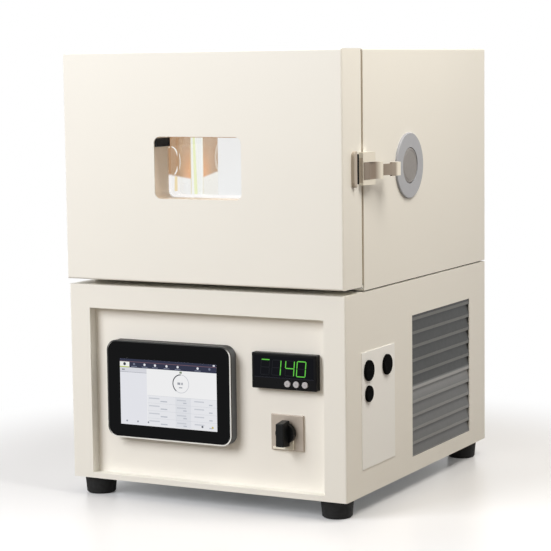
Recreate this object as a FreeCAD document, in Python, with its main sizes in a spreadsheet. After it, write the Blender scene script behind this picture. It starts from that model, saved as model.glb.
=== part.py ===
import FreeCAD, Part
import math
import os
from types import SimpleNamespace

import Sketcher

Vector = FreeCAD.Vector
Rotation = FreeCAD.Rotation

# A bench-top temperature test chamber: an insulated test space with a window door stands on a base
# that holds the refrigeration unit and the controls. The origin lies on the floor under the centre of
# the cabinet, door included. X runs to the right, Y to the back and Z up, all in millimetres.

SIZES = {
    # Cabinet
    "width": 425.0,
    "deep": 488.0,
    "foot_high": 25.0,
    "base_high": 272.0,
    "seam_high": 2.0,
    "upper_high": 317.0,
    "skin": 1.5,
    "bend": 2.5,
    "fit": 0.2,
    "running": 0.05,
    "gap": 0.3,
    # Feet
    "foot_inset": 27.5,
    "foot_radius": 22.5,
    "foot_taper": 2.2,
    "foot_edge": 2.0,
    "stud_radius": 4.0,
    "stud_high": 12.0,
    # Front of the base
    "frame_side": 32.2,
    "frame_top": 32.2,
    "frame_low": 7.6,
    "recess_deep": 15.0,
    "flange_skin": 1.2,
    "panel_lap": 4.0,
    "pan_rim": 4.5,
    # Touch panel
    "touch_rise": 129.3,
    "touch_wide": 195.0,
    "touch_high": 135.5,
    "touch_round": 15.0,
    "touch_proud": 16.0,
    "trim_wide": 1.8,
    "trim_deep": 3.0,
    "glass_inset": 0.3,
    "glass_thick": 1.6,
    "screen_x": -0.5,
    "screen_rise": -3.0,
    "screen_wide": 152.4,
    "screen_high": 91.4,
    "screen_thick": 5.0,
    "touch_box_wide": 168.0,
    "touch_box_high": 108.0,
    "touch_box_deep": 24.0,
    # Temperature limiter
    "limiter_rise": 168.0,
    "limiter_wide": 96.0,
    "limiter_high": 48.0,
    "limiter_proud": 11.0,
    "limiter_edge": 1.5,
    "case_wide": 90.0,
    "case_high": 43.0,
    "case_deep": 62.0,
    "window_margin": 4.0,
    "display_high": 29.0,
    "display_thick": 1.2,
    "key_radius": 4.3,
    "key_pitch": 13.0,
    "key_x": 18.4,
    "key_rise": 8.0,
    "key_proud": 1.4,
    "key_long": 5.0,
    "key_travel": 1.0,
    # Main switch
    "switch_rise": 85.0,
    "switch_size": 48.0,
    "switch_thick": 3.0,
    "knob_radius": 13.5,
    "knob_base": 8.0,
    "knob_reach": 26.0,
    "grip_wide": 11.5,
    "grip_high": 35.0,
    "grip_taper": 2.0,
    "grip_round": 1.5,
    "pointer_wide": 3.5,
    "pointer_high": 8.0,
    "pointer_deep": 2.5,
    "shaft_radius": 3.0,
    "shaft_play": 0.09,
    "shaft_long": 20.0,
    "switch_box": 40.0,
    "switch_box_deep": 35.0,
    # Side of the base: connection plate, its caps and the louvre
    "plate_y": 46.6,
    "plate_low": 35.7,
    "plate_wide": 105.4,
    "plate_high": 156.3,
    "plate_thick": 1.0,
    "plate_lap": 8.0,
    "cap_radius": 14.0,
    "cap_small_radius": 11.0,
    "cap_thick": 3.4,
    "cap_near": 19.9,
    "cap_far": 78.4,
    "cap_upper": 130.9,
    "cap_lower": 99.7,
    "cap_stem": 6.0,
    "cap_step": 3.0,
    "louvre_y": 214.0,
    "louvre_low": 22.0,
    "louvre_wide": 212.0,
    "louvre_high": 200.0,
    "louvre_rim": 3.0,
    "louvre_deep": 9.5,
    "blade_lip": 3.2,
    "blade_skin": 1.3,
    "blade_lap": 2.0,
    "blade_drop": 7.9,
    "blade_end": 0.8,
    # Refrigeration unit
    "coil_deep": 22.0,
    "coil_wide": 196.0,
    "coil_high": 180.0,
    "coil_space": 6.0,
    "fin_pitch": 8.0,
    "fin_gap": 5.5,
    "fin_cut": 8.0,
    "bend_radius": 12.0,
    "tube_radius": 4.5,
    "shroud_skin": 2.0,
    "shroud_deep": 24.0,
    "wheel_radius": 72.0,
    "wheel_hub": 20.0,
    "wheel_gap": 4.0,
    "wheel_wide": 16.0,
    "motor_radius": 24.0,
    "motor_long": 34.0,
    "axle_radius": 3.0,
    "strut_wide": 12.0,
    "compressor_side": 117.5,
    "compressor_back": 148.0,
    "compressor_radius": 62.0,
    "compressor_high": 150.0,
    "weld_rim": 4.0,
    "mount_thick": 4.0,
    "grommet_high": 8.0,
    "grommet_radius": 10.0,
    "control_side": 92.5,
    "control_y": 130.0,
    "control_wide": 130.0,
    "control_deep": 110.0,
    "control_high": 95.0,
    # Rear panels and mains inlet
    "slot_wide": 90.0,
    "slot_high": 4.0,
    "slot_pitch": 12.0,
    "slot_rise": 130.0,
    "inlet_side": 62.5,
    "inlet_rise": 45.0,
    "inlet_wide": 48.0,
    "inlet_high": 30.0,
    "inlet_proud": 3.0,
    "socket_wide": 24.0,
    "socket_high": 16.0,
    "socket_deep": 16.0,
    "inlet_box_wide": 28.0,
    "inlet_box_high": 20.0,
    "inlet_box_deep": 24.0,
    "prong_wide": 2.0,
    "prong_high": 4.0,
    "prong_pitch": 7.0,
    "prong_inset": 5.5,
    # Door
    "door_proud": 4.5,
    "door_thick": 56.5,
    "door_lift": 8.0,
    "seal_space": 6.0,
    "seal_inset": 3.0,
    "seal_wide": 14.0,
    "seal_round": 1.5,
    "pad_deep": 12.0,
    "pad_space": 5.0,
    # Door window
    "window_x": -2.0,
    "window_rise": 113.6,
    "window_wide": 133.2,
    "window_high": 83.5,
    "window_round": 9.0,
    "window_skin": 1.2,
    "reveal_deep": 37.5,
    "pane_thick": 4.0,
    "pane_inset": 0.5,
    "bead_wide": 2.5,
    "bead_thick": 2.0,
    "lamp_thick": 3.0,
    "lamp_high": 14.0,
    "lamp_inset": 2.0,
    # Test space
    "wall": 44.5,
    "liner_skin": 1.0,
    "face_deep": 10.0,
    "duct_deep": 75.0,
    "rear_wall": 55.0,
    "machine_deep": 72.0,
    "baffle_skin": 1.0,
    "inlet_radius": 50.0,
    "outlet_wide": 18.0,
    "outlet_high": 5.0,
    "outlet_pitch": 26.0,
    "outlet_rise": 14.0,
    "fan_radius": 46.0,
    "fan_hub": 14.0,
    "fan_wide": 18.0,
    "fan_space": 14.0,
    "fan_shaft": 4.0,
    "shaft_space": 2.0,
    "fan_motor_radius": 36.0,
    "fan_motor_long": 48.0,
    "fan_flange": 90.0,
    "fan_flange_thick": 4.0,
    "fan_bore": 20.0,
    "ring_radius": 58.0,
    "heater_radius": 4.0,
    "evaporator_side": 6.0,
    "evaporator_gap": 12.0,
    "evaporator_deep": 36.0,
    "evaporator_high": 190.0,
    "sensor_side": 63.0,
    "sensor_drop": 28.0,
    "sensor_radius": 2.5,
    "sensor_long": 45.0,
    "sensor_flange": 8.0,
    "rail_rise": 42.0,
    "rail_wide": 9.0,
    "rail_high": 12.0,
    "rail_skin": 1.5,
    "rail_space": 20.0,
    "rod_radius": 2.5,
    "wire_radius": 1.6,
    "strip_wide": 9.0,
    "shelf_front": 40.0,
    "shelf_back": 6.0,
    "shelf_space": 2.0,
    # Entry ports
    "port_y": 204.0,
    "port_rise": 157.3,
    "port_radius": 25.0,
    "port_skin": 2.0,
    "port_lip": 3.0,
    "port_lip_thick": 2.0,
    "port_flange": 45.0,
    "port_flange_thick": 3.0,
    "port_edge": 0.8,
    "plug_space": 0.4,
    "plug_inset": 2.0,
    "plug_edge": 2.5,
    # Door hinges
    "hinge_out": 10.0,
    "hinge_back": 3.0,
    "hinge_knuckle": 8.0,
    "hinge_pin": 2.5,
    "hinge_leaf": 2.5,
    "hinge_wide": 30.0,
    "hinge_high": 60.0,
    "hinge_inset": 60.0,
    # Door latch
    "latch_rise": 161.0,
    "keeper_front": 21.0,
    "keeper_wide": 9.0,
    "keeper_high": 47.0,
    "keeper_thick": 4.5,
    "keeper_round": 7.0,
    "latch_front": 43.5,
    "latch_long": 23.0,
    "latch_high": 43.0,
    "latch_stand": 0.5,
    "latch_out": 6.5,
    "latch_flare": 7.0,
    "cheek_sink": 0.6,
    "ear_high": 13.0,
    "lower_ear_high": 7.0,
    "latch_plate": 1.5,
    "pivot_y": 60.0,
    "pivot_out": 6.0,
    "pivot_radius": 1.5,
    "hub_radius": 4.0,
    "knuckle_y": 8.3,
    "knuckle_long": 10.7,
    "knuckle_rise": 6.1,
    "bar_long": 20.5,
    "bar_rise": 7.5,
    "bar_thick": 3.0,
    "bar_high": 15.0,
    "bar_sink": 4.0,
    "grip_long": 17.0,
    "tip_radius": 4.5,
    "tip_high": 18.0,
}
BLADES = 11
REAR_SLOTS = 9
OUTLETS = 11
WHEEL_BLADES = 5
FAN_BLADES = 6
SHELF_WIRES = 13
# Where the instruments stand, as shares of the width of the recess
TOUCH_SHARE = 0.346
LIMITER_SHARE = 0.8315

doc = FreeCAD.newDocument("TemperatureTestChamber")
sheet = doc.addObject("Spreadsheet::Sheet", "Sizes")
PIECES = {}


class Size:
    """A length held twice: as a number, and as the sheet formula that gives it."""

    def __init__(self, number, formula):
        self.number = number
        self.formula = formula

    def __add__(self, other):
        other = as_size(other)
        return Size(self.number + other.number, f"({self.formula} + {other.formula})")

    def __sub__(self, other):
        other = as_size(other)
        return Size(self.number - other.number, f"({self.formula} - {other.formula})")

    def __mul__(self, factor):
        factor = as_size(factor)
        return Size(self.number * factor.number, f"({self.formula} * {factor.formula})")

    def __truediv__(self, other):
        other = as_size(other)
        return Size(self.number / other.number, f"({self.formula} / {other.formula})")

    def __neg__(self):
        return Size(-self.number, f"(0 - {self.formula})")

    def __radd__(self, other):
        return as_size(other) + self

    def __rsub__(self, other):
        return as_size(other) - self


def as_size(value):
    """Give a plain number the two forms that a size has."""
    return value if isinstance(value, Size) else Size(float(value), f"({float(value):.9f})")


def fill_sheet():
    """Write every driving size into the sheet and return them as named sizes."""
    for row, (alias, value) in enumerate(SIZES.items(), start=1):
        sheet.set(f"A{row}", alias.replace("_", " "))
        sheet.set(f"B{row}", str(value))
        sheet.setAlias(f"B{row}", alias)
    doc.recompute()
    return SimpleNamespace(**{alias: Size(value, f"Sizes.{alias}") for alias, value in SIZES.items()})


s = fill_sheet()

# Places that several pieces share
half = s.width / 2
door_front = -(s.deep + s.door_proud) / 2
base_front = door_front + s.door_proud
back = base_front + s.deep
door_back = door_front + s.door_thick
upper_front = door_back + s.seal_space
base_top = s.foot_high + s.base_high
upper_low = base_top + s.seam_high
top = upper_low + s.upper_high
door_low = base_top + s.door_lift
floor_top = s.foot_high + s.skin
panel_face = base_front + s.recess_deep
panel_back = panel_face + s.skin
room_half = half - s.wall
room_low = upper_low + s.wall
room_top = top - s.wall
room_mid = (room_low + room_top) / 2
core_back = back - s.machine_deep
liner_rear = core_back - s.rear_wall
liner_back = liner_rear - s.liner_skin
baffle_front = liner_back - s.duct_deep
port_y = base_front + s.port_y
port_z = upper_low + s.port_rise
bore_radius = s.port_radius + s.port_skin + s.gap
shaft_hole = s.fan_shaft + s.shaft_space


def bind(item, sizes):
    """Bind each property path of an object to a size."""
    for path, size in sizes.items():
        item.setExpression(path, as_size(size).formula)


def seat(item, x, y, z):
    """Bind the place of an object."""
    bind(item, {"Placement.Base.x": x, "Placement.Base.y": y, "Placement.Base.z": z})


def block(label, low, high):
    """A straight-sided block between its low and its high corner."""
    item = doc.addObject("Part::Box", label)
    bind(item, {"Length": high[0] - low[0], "Width": high[1] - low[1], "Height": high[2] - low[2]})
    seat(item, *low)
    return item


TURNS = {
    "X": Rotation(Vector(0, 1, 0), 90),
    "-X": Rotation(Vector(0, 1, 0), -90),
    "Y": Rotation(Vector(1, 0, 0), -90),
    "-Y": Rotation(Vector(1, 0, 0), 90),
    "Z": Rotation(),
}


def point_on(axis, across, along):
    """The place with two coordinates across an axis and one along it."""
    if axis.endswith("X"):
        return along, across[0], across[1]
    if axis.endswith("Y"):
        return across[0], along, across[1]
    return across[0], across[1], along


def rod(label, axis, across, start, length, radius):
    """A cylinder from start along an axis."""
    item = doc.addObject("Part::Cylinder", label)
    bind(item, {"Radius": radius, "Height": length})
    item.Placement.Rotation = TURNS[axis]
    seat(item, *point_on(axis, across, start))
    return item


def join(label, *items):
    """Fuse objects into one."""
    item = doc.addObject("Part::MultiFuse", label)
    item.Shapes = list(items)
    return item


def cut(label, base, *tools):
    """Take one or more objects away from a base object."""
    item = doc.addObject("Part::Cut", label)
    item.Base = base
    item.Tool = tools[0] if len(tools) == 1 else join(label + "_cutters", *tools)
    return item


def common(label, first, second):
    """Keep what two objects share."""
    item = doc.addObject("Part::Common", label)
    item.Base = first
    item.Tool = second
    return item


def is_along(edge, axis):
    """Whether an edge is straight and runs along one of the axes."""
    if not isinstance(edge.Curve, Part.Line):
        return False
    return abs(getattr(edge.Curve.Direction, axis)) > 0.999


def soften(label, base, radius, choose):
    """Round the edges of an object that a test picks."""
    doc.recompute()
    chosen = [n for n, e in enumerate(base.Shape.Edges, start=1) if choose(e)]
    picked = [(n, radius.number, radius.number) for n in chosen]
    item = doc.addObject("Part::Fillet", label)
    item.Base = base
    item.Edges = picked
    return item


def piece(label, item, solids=1):
    """Name a finished sub-part and note how many solids it is made of."""
    item.Label = label
    PIECES[label] = (item, solids)
    return item


def new_body(label):
    """An empty body."""
    return doc.addObject("PartDesign::Body", label)


def sketch_on(body, plane, start):
    """A sketch parallel to one of the body's own planes, at a distance from it along the axis."""
    drawn = body.newObject("Sketcher::SketchObject", body.Name + "Sketch")
    support = next(f for f in body.Origin.OriginFeatures if f.Role == plane + "_Plane")
    drawn.AttachmentSupport = [(support, "")]
    drawn.MapMode = "FlatFace"
    distance = -as_size(start) if plane == "XZ" else as_size(start)
    drawn.setExpression(".AttachmentOffset.Base.z", distance.formula)
    return drawn


def draw_outline(drawn, points):
    """Draw a closed outline whose corners are bound to sizes."""
    points = [(as_size(u), as_size(v)) for u, v in points]
    first = drawn.GeometryCount
    for n, (u, v) in enumerate(points):
        ahead = points[(n + 1) % len(points)]
        line = Part.LineSegment(Vector(u.number, v.number, 0), Vector(ahead[0].number, ahead[1].number, 0))
        drawn.addGeometry(line, False)
    for n, (u, v) in enumerate(points):
        edge = first + n
        ahead = first + (n + 1) % len(points)
        drawn.addConstraint(Sketcher.Constraint("Coincident", edge, 2, ahead, 1))
    for n, (u, v) in enumerate(points):
        edge = first + n
        for kind, size in (("DistanceX", u), ("DistanceY", v)):
            rule = drawn.addConstraint(Sketcher.Constraint(kind, -1, 1, edge, 1, size.number))
            drawn.setExpression(f"Constraints[{rule}]", size.formula)


def draw_circle(drawn, centre, radius):
    """Draw a circle whose centre and radius are bound to sizes."""
    u, v, radius = as_size(centre[0]), as_size(centre[1]), as_size(radius)
    round_line = Part.Circle(Vector(u.number, v.number, 0), Vector(0, 0, 1), radius.number)
    edge = drawn.addGeometry(round_line, False)
    for kind, size in (("DistanceX", u), ("DistanceY", v)):
        rule = drawn.addConstraint(Sketcher.Constraint(kind, -1, 1, edge, 3, size.number))
        drawn.setExpression(f"Constraints[{rule}]", size.formula)
    rule = drawn.addConstraint(Sketcher.Constraint("Radius", edge, radius.number))
    drawn.setExpression(f"Constraints[{rule}]", radius.formula)


def rectangle(low, high):
    """The four corners of an upright rectangle."""
    return [low, (high[0], low[1]), high, (low[0], high[1])]


def pad(body, drawn, length):
    """Raise a sketch along its axis."""
    item = body.newObject("PartDesign::Pad", body.Name + "Pad")
    item.Profile = drawn
    item.Reversed = drawn.AttachmentSupport[0][0].Role == "XZ_Plane"
    bind(item, {"Length": length})
    return item


def pocket(body, drawn, length):
    """Cut a sketch out of the body along its axis, and make sure that it cuts."""
    doc.recompute()
    before = body.Shape.Volume
    item = body.newObject("PartDesign::Pocket", body.Name + "Pocket")
    item.Profile = drawn
    item.Reversed = drawn.AttachmentSupport[0][0].Role != "XZ_Plane"
    bind(item, {"Length": length})
    doc.recompute()
    if body.Shape.Volume > before - 0.01:
        raise ValueError(f"a pocket of {body.Name} cuts nothing")
    return item


def repeat(body, feature, direction, length, count):
    """Repeat a feature in a straight row whose length is a size."""
    item = body.newObject("PartDesign::LinearPattern", body.Name + "Row")
    item.Originals = [feature]
    item.Direction = direction
    bind(item, {"Length": length})
    item.Occurrences = count
    body.Tip = item
    return item


def spin_copies(body, feature, count):
    """Repeat a feature around the body's own Z axis."""
    item = body.newObject("PartDesign::PolarPattern", body.Name + "Ring")
    item.Originals = [feature]
    axis = next(f for f in body.Origin.OriginFeatures if f.Role == "Z_Axis")
    item.Axis = (axis, [""])
    item.Angle = 360
    item.Occurrences = count
    body.Tip = item
    return item


def round_edges(body, feature, radius, choose):
    """Round the edges of a body's last feature that a test picks."""
    doc.recompute()
    picked = [f"Edge{n}" for n, e in enumerate(feature.Shape.Edges, start=1) if choose(e)]
    item = body.newObject("PartDesign::Fillet", body.Name + "Round")
    item.Base = (feature, picked)
    bind(item, {"Radius": radius})
    return item


def plate(label, plane, low, high, start, thick, corner=None):
    """A flat plate on one of the planes, with rounded corners where a radius is given."""
    body = new_body(label)
    drawn = sketch_on(body, plane, start)
    draw_outline(drawn, rectangle(low, high))
    raised = pad(body, drawn, thick)
    if corner is not None:
        normal = {"XY": "z", "XZ": "y", "YZ": "x"}[plane]
        round_edges(body, raised, corner, lambda e: is_along(e, normal))
    return body


def turned(label, axis, across, start, profile):
    """A turned piece: a profile of radius and height pairs spun about an axis."""
    body = new_body(label)
    drawn = sketch_on(body, "XZ", 0)
    draw_outline(drawn, profile)
    spun = body.newObject("PartDesign::Revolution", body.Name + "Turned")
    spun.Profile = drawn
    spun.ReferenceAxis = (drawn, ["V_Axis"])
    spun.Angle = 360
    body.Placement.Rotation = TURNS[axis]
    seat(body, *point_on(axis, across, start))
    return body


def ring(label, plane, low, high, wide, start, thick, corner=None):
    """A flat frame of one width all round."""
    outer = plate(label + "_outer", plane, low, high, start, thick, corner)
    inner_low = (low[0] + wide, low[1] + wide)
    inner_high = (high[0] - wide, high[1] - wide)
    inner_corner = None if corner is None else corner - wide
    inner = plate(label + "_inner", plane, inner_low, inner_high, start, thick, inner_corner)
    return cut(label, outer, inner)


def base_housing():
    """The folded steel wrap of the base, with its recessed front frame and its side openings."""
    outer = block("base_outer", (-half, base_front, s.foot_high), (half, back, base_top))
    front_line = base_front.number + 0.01
    rounded = soften(
        "base_bent", outer, s.bend, lambda e: is_along(e, "z") and e.Vertexes[0].Point.y < front_line
    )
    inner_low = (-half + s.skin, base_front + s.skin, s.foot_high - 1)
    inner = block("base_inner", inner_low, (half - s.skin, back + 1, base_top - s.skin))
    shell = cut("base_shell", rounded, inner)
    flange_low = (low_x - s.flange_skin, base_front + s.skin / 2, low_z - s.flange_skin)
    flange_high = (high_x + s.flange_skin, panel_face, high_z + s.flange_skin)
    flange = block("recess_flange", flange_low, flange_high)
    recess = block("recess_opening", (low_x, base_front - 1, low_z), (high_x, panel_face + 1, high_z))
    louvre = block("louvre_opening", (half - s.skin - 1, louvre_front, louvre_low),
                   (half + 1, louvre_back, louvre_high))
    sockets = block(
        "socket_opening",
        (half - s.skin - 1, plate_front + s.plate_lap, plate_low + s.plate_lap),
        (half + 1, plate_rear - s.plate_lap, plate_high - s.plate_lap),
    )
    piece("base_housing", cut("base_wrap", join("base_flanged", shell, flange), recess, louvre, sockets))


# Recess in the front of the base
low_x = -half + s.frame_side
high_x = half - s.frame_side
low_z = s.foot_high + s.frame_low
high_z = base_top - s.frame_top
# Openings in the right side of the base
louvre_front = base_front + s.louvre_y
louvre_back = louvre_front + s.louvre_wide
louvre_low = s.foot_high + s.louvre_low
louvre_high = louvre_low + s.louvre_high
plate_front = base_front + s.plate_y
plate_rear = plate_front + s.plate_wide
plate_low = s.foot_high + s.plate_low
plate_high = plate_low + s.plate_high
# Feet stand this far from the centre lines
foot_x = half - s.foot_inset
foot_front = base_front + s.foot_inset
foot_rear = back - s.foot_inset


def foot_places():
    """The centres of the four feet."""
    return [(x, y) for x in (-foot_x, foot_x) for y in (foot_front, foot_rear)]


def base_floor():
    """The floor pan with its low rim, and the four rubber feet whose studs pass through it."""
    side = half - s.skin - s.fit
    pan_front = base_front + s.skin + s.fit
    pan_back = back - s.fit
    tray = block("pan_outer", (-side, pan_front, s.foot_high), (side, pan_back, floor_top + s.pan_rim))
    hollow = block(
        "pan_hollow",
        (-side + s.skin, pan_front + s.skin, floor_top),
        (side - s.skin, pan_back - s.skin * 2 - s.fit, floor_top + s.pan_rim + 1),
    )
    rear_seat = block(
        "pan_rear_seat",
        (-side - 1, pan_back - s.skin - s.fit, floor_top),
        (side + 1, pan_back + 1, floor_top + s.pan_rim + 1),
    )
    holes = [
        rod(f"stud_hole_{n}", "Z", place, s.foot_high - 1, s.skin + 2, s.stud_radius + s.gap)
        for n, place in enumerate(foot_places())
    ]
    piece("base_floor_pan", cut("pan", tray, hollow, rear_seat, *holes))
    low_radius = s.foot_radius - s.foot_taper
    profile = [
        (0, 0), (low_radius - s.foot_edge, 0), (low_radius, s.foot_edge), (s.foot_radius, s.foot_high),
        (s.stud_radius, s.foot_high), (s.stud_radius, s.foot_high + s.stud_high),
        (0, s.foot_high + s.stud_high),
    ]
    feet = [turned(f"foot_{n}", "Z", place, 0, profile) for n, place in enumerate(foot_places())]
    piece("feet", join("four_feet", *feet), len(feet))


def front_panel():
    """The plate at the bottom of the recess, with cut-outs for the three instruments."""
    lap = s.panel_lap
    sheet_metal = plate(
        "panel_blank", "XZ", (low_x - lap, low_z - lap), (high_x + lap, high_z + lap), panel_face, s.skin
    )
    margin = s.fit
    cutters = [
        block(
            "touch_cutout",
            (touch_x - s.touch_box_wide / 2 - margin, panel_face - 1,
             touch_z - s.touch_box_high / 2 - margin),
            (touch_x + s.touch_box_wide / 2 + margin, panel_back + 1,
             touch_z + s.touch_box_high / 2 + margin),
        ),
        block(
            "limiter_cutout",
            (limiter_x - s.case_wide / 2 - margin, panel_face - 1, limiter_z - s.case_high / 2 - margin),
            (limiter_x + s.case_wide / 2 + margin, panel_back + 1, limiter_z + s.case_high / 2 + margin),
        ),
        rod("shaft_cutout", "Y", (switch_x, switch_z), panel_face - 1, s.skin + 2, s.shaft_radius + s.gap),
    ]
    piece("front_panel", cut("panel", sheet_metal, *cutters))


# Centres of the instruments on the front panel
recess_wide = high_x - low_x
touch_x = low_x + recess_wide * TOUCH_SHARE
limiter_x = low_x + recess_wide * LIMITER_SHARE
switch_x = limiter_x
touch_z = s.foot_high + s.touch_rise
touch_face = panel_face - s.touch_proud
touch_low = (touch_x - s.touch_wide / 2, touch_z - s.touch_high / 2)
touch_high = (touch_x + s.touch_wide / 2, touch_z + s.touch_high / 2)
limiter_z = s.foot_high + s.limiter_rise
limiter_face = panel_face - s.limiter_proud
switch_z = s.foot_high + s.switch_rise
switch_face = panel_face - s.switch_thick


def inset(low, high, by):
    """A rectangle made smaller by the same margin all round."""
    return (low[0] + by, low[1] + by), (high[0] - by, high[1] - by)


def touch_panel():
    """The panel computer: housing, bright trim, cover glass and display."""
    glass_front = touch_face + s.glass_inset
    seat_plane = glass_front + s.glass_thick
    inner_low, inner_high = inset(touch_low, touch_high, s.trim_wide)
    inner_round = s.touch_round - s.trim_wide
    body_front = touch_face + s.trim_deep
    shell = plate(
        "touch_shell", "XZ", touch_low, touch_high, body_front, panel_face - body_front, s.touch_round
    )
    step = plate(
        "touch_step", "XZ", inner_low, inner_high, seat_plane, body_front + 1 - seat_plane, inner_round
    )
    rear = block(
        "touch_rear",
        (touch_x - s.touch_box_wide / 2, panel_face - 1, touch_z - s.touch_box_high / 2),
        (touch_x + s.touch_box_wide / 2, panel_face + s.touch_box_deep, touch_z + s.touch_box_high / 2),
    )
    screen_x = touch_x + s.screen_x
    screen_z = touch_z + s.screen_rise
    screen_low = (screen_x - s.screen_wide / 2, seat_plane, screen_z - s.screen_high / 2)
    screen_high = (screen_x + s.screen_wide / 2, seat_plane + s.screen_thick, screen_z + s.screen_high / 2)
    well_low = (screen_low[0], seat_plane - 1, screen_low[2])
    well = block("screen_well", well_low, screen_high)
    piece("touch_panel_housing", cut("touch_housing", join("touch_solid", shell, step, rear), well))
    piece("touch_display", block("display", screen_low, screen_high))
    glass = plate("cover_glass", "XZ", inner_low, inner_high, glass_front, s.glass_thick, inner_round)
    piece("touch_glass", glass)
    trim = ring(
        "touch_ring", "XZ", touch_low, touch_high, s.trim_wide, touch_face, s.trim_deep, s.touch_round
    )
    piece("touch_panel_trim", trim)


def limiter():
    """The temperature limiter: a flush instrument with a display window and three keys."""
    wide = s.limiter_wide / 2
    high = s.limiter_high / 2
    bezel = plate(
        "limiter_bezel", "XZ", (limiter_x - wide, limiter_z - high), (limiter_x + wide, limiter_z + high),
        limiter_face, s.limiter_proud,
    )
    front_line = limiter_face.number + 0.01
    round_edges(
        bezel, bezel.Tip, s.limiter_edge,
        lambda e: max(v.Point.y for v in e.Vertexes) < front_line or is_along(e, "y"),
    )
    case = block(
        "limiter_case",
        (limiter_x - s.case_wide / 2, panel_face - 1, limiter_z - s.case_high / 2),
        (limiter_x + s.case_wide / 2, panel_face + s.case_deep, limiter_z + s.case_high / 2),
    )
    window_top = limiter_z + high - s.window_margin
    window_low = (limiter_x - wide + s.window_margin, limiter_face, window_top - s.display_high)
    window_high = (limiter_x + wide - s.window_margin, limiter_face + s.display_thick, window_top)
    well = block("limiter_well", (window_low[0], limiter_face - 1, window_low[2]), window_high)
    key_z = limiter_z - high + s.key_rise
    key_depth = s.key_long - s.key_proud + s.key_travel + s.gap
    keys = {}
    for name, side in (("left", -1), ("middle", 0), ("right", 1)):
        keys[name] = (limiter_x + s.key_x + s.key_pitch * side, key_z)
    holes = [
        rod(f"key_hole_{name}", "Y", place, limiter_face - 1, key_depth + 1, s.key_radius + s.gap)
        for name, place in keys.items()
    ]
    piece("limiter_housing", cut("limiter_body", join("limiter_solid", bezel, case), well, *holes))
    piece("limiter_window", block("limiter_display", window_low, window_high))
    crown = s.key_proud / 3
    profile = [(0, 0), (s.key_radius - crown, 0), (s.key_radius, crown), (s.key_radius, s.key_long),
               (0, s.key_long)]
    for name, place in keys.items():
        key = turned(f"key_{name}", "Y", place, limiter_face - s.key_proud, profile)
        piece(f"limiter_key_{name}", key)


def main_switch():
    """The rotary main switch: front plate, grip knob with its pointer, and the switch behind the panel."""
    side = s.switch_size / 2
    blank = plate(
        "switch_blank", "XZ", (switch_x - side, switch_z - side), (switch_x + side, switch_z + side),
        switch_face, s.switch_thick,
    )
    front_line = switch_face.number + 0.01
    round_edges(
        blank, blank.Tip, s.switch_thick / 4, lambda e: max(v.Point.y for v in e.Vertexes) < front_line
    )
    hole = rod("switch_hole", "Y", (switch_x, switch_z), switch_face - 1, s.switch_thick + 2,
               s.shaft_radius + s.shaft_play)
    piece("switch_plate", cut("switch_front", blank, hole))
    knob_back = switch_face - s.gap
    knob_front = panel_face - s.knob_reach
    disc = rod("knob_disc", "Y", (switch_x, switch_z), knob_back - s.knob_base, s.knob_base, s.knob_radius)
    grip = new_body("knob_grip")
    tall = s.grip_high / 2
    drawn = sketch_on(grip, "YZ", switch_x - s.grip_wide / 2)
    shoulder = knob_back - s.knob_base / 2
    draw_outline(drawn, [
        (shoulder, switch_z - tall), (shoulder, switch_z + tall),
        (knob_front, switch_z + tall - s.grip_taper), (knob_front, switch_z - tall + s.grip_taper),
    ])
    raised = pad(grip, drawn, s.grip_wide)
    front_part = shoulder.number - 0.01
    round_edges(grip, raised, s.grip_round, lambda e: min(v.Point.y for v in e.Vertexes) < front_part)
    shaft = rod("knob_shaft", "Y", (switch_x, switch_z), knob_back - 1,
                panel_face + s.shaft_long - knob_back + 1, s.shaft_radius)
    corner_x = switch_x + s.grip_wide / 2 - s.grip_round
    corner_z = switch_z - tall + s.grip_taper + s.grip_round
    mark_low = (corner_x - s.pointer_wide, knob_front, corner_z)
    mark_high = (corner_x, knob_front + s.pointer_deep, corner_z + s.pointer_high)
    well = block("pointer_well", (mark_low[0], knob_front - 1, mark_low[2]), mark_high)
    piece("switch_knob", cut("knob", join("knob_solid", disc, grip, shaft), well))
    piece("switch_pointer", block("pointer", mark_low, mark_high))
    box = s.switch_box / 2
    case = block(
        "switch_case",
        (switch_x - box, panel_back, switch_z - box),
        (switch_x + box, panel_back + s.switch_box_deep, switch_z + box),
    )
    bore = rod("switch_bore", "Y", (switch_x, switch_z), panel_back - 1, s.shaft_long + 1,
               s.shaft_radius + s.shaft_play)
    piece("switch_body", cut("switch", case, bore))


def connection_plate():
    """The connection plate on the right side and the caps that close its sockets."""
    blank = plate("connection_blank", "YZ", (plate_front, plate_low), (plate_rear, plate_high), half,
                  s.plate_thick)
    spots = [
        ((plate_front + s.cap_near, plate_low + s.cap_upper), s.cap_radius),
        ((plate_front + s.cap_far, plate_low + s.cap_upper), s.cap_radius),
        ((plate_front + s.cap_near, plate_low + s.cap_lower), s.cap_small_radius),
    ]
    holes = []
    caps = []
    for n, (place, radius) in enumerate(spots):
        stem = radius - s.cap_step
        holes.append(rod(f"cap_hole_{n}", "X", place, half - 1, s.plate_thick + 2, stem + s.gap))
        edge = s.cap_thick / 3
        profile = [(0, 0), (stem, 0), (stem, s.cap_stem), (radius, s.cap_stem),
                   (radius, s.cap_stem + s.cap_thick - edge), (radius - edge, s.cap_stem + s.cap_thick),
                   (0, s.cap_stem + s.cap_thick)]
        caps.append(turned(f"cap_{n}", "X", place, half + s.plate_thick - s.cap_stem, profile))
    piece("connection_plate", cut("connections", blank, *holes))
    piece("connector_caps", join("caps", *caps), len(caps))


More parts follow.
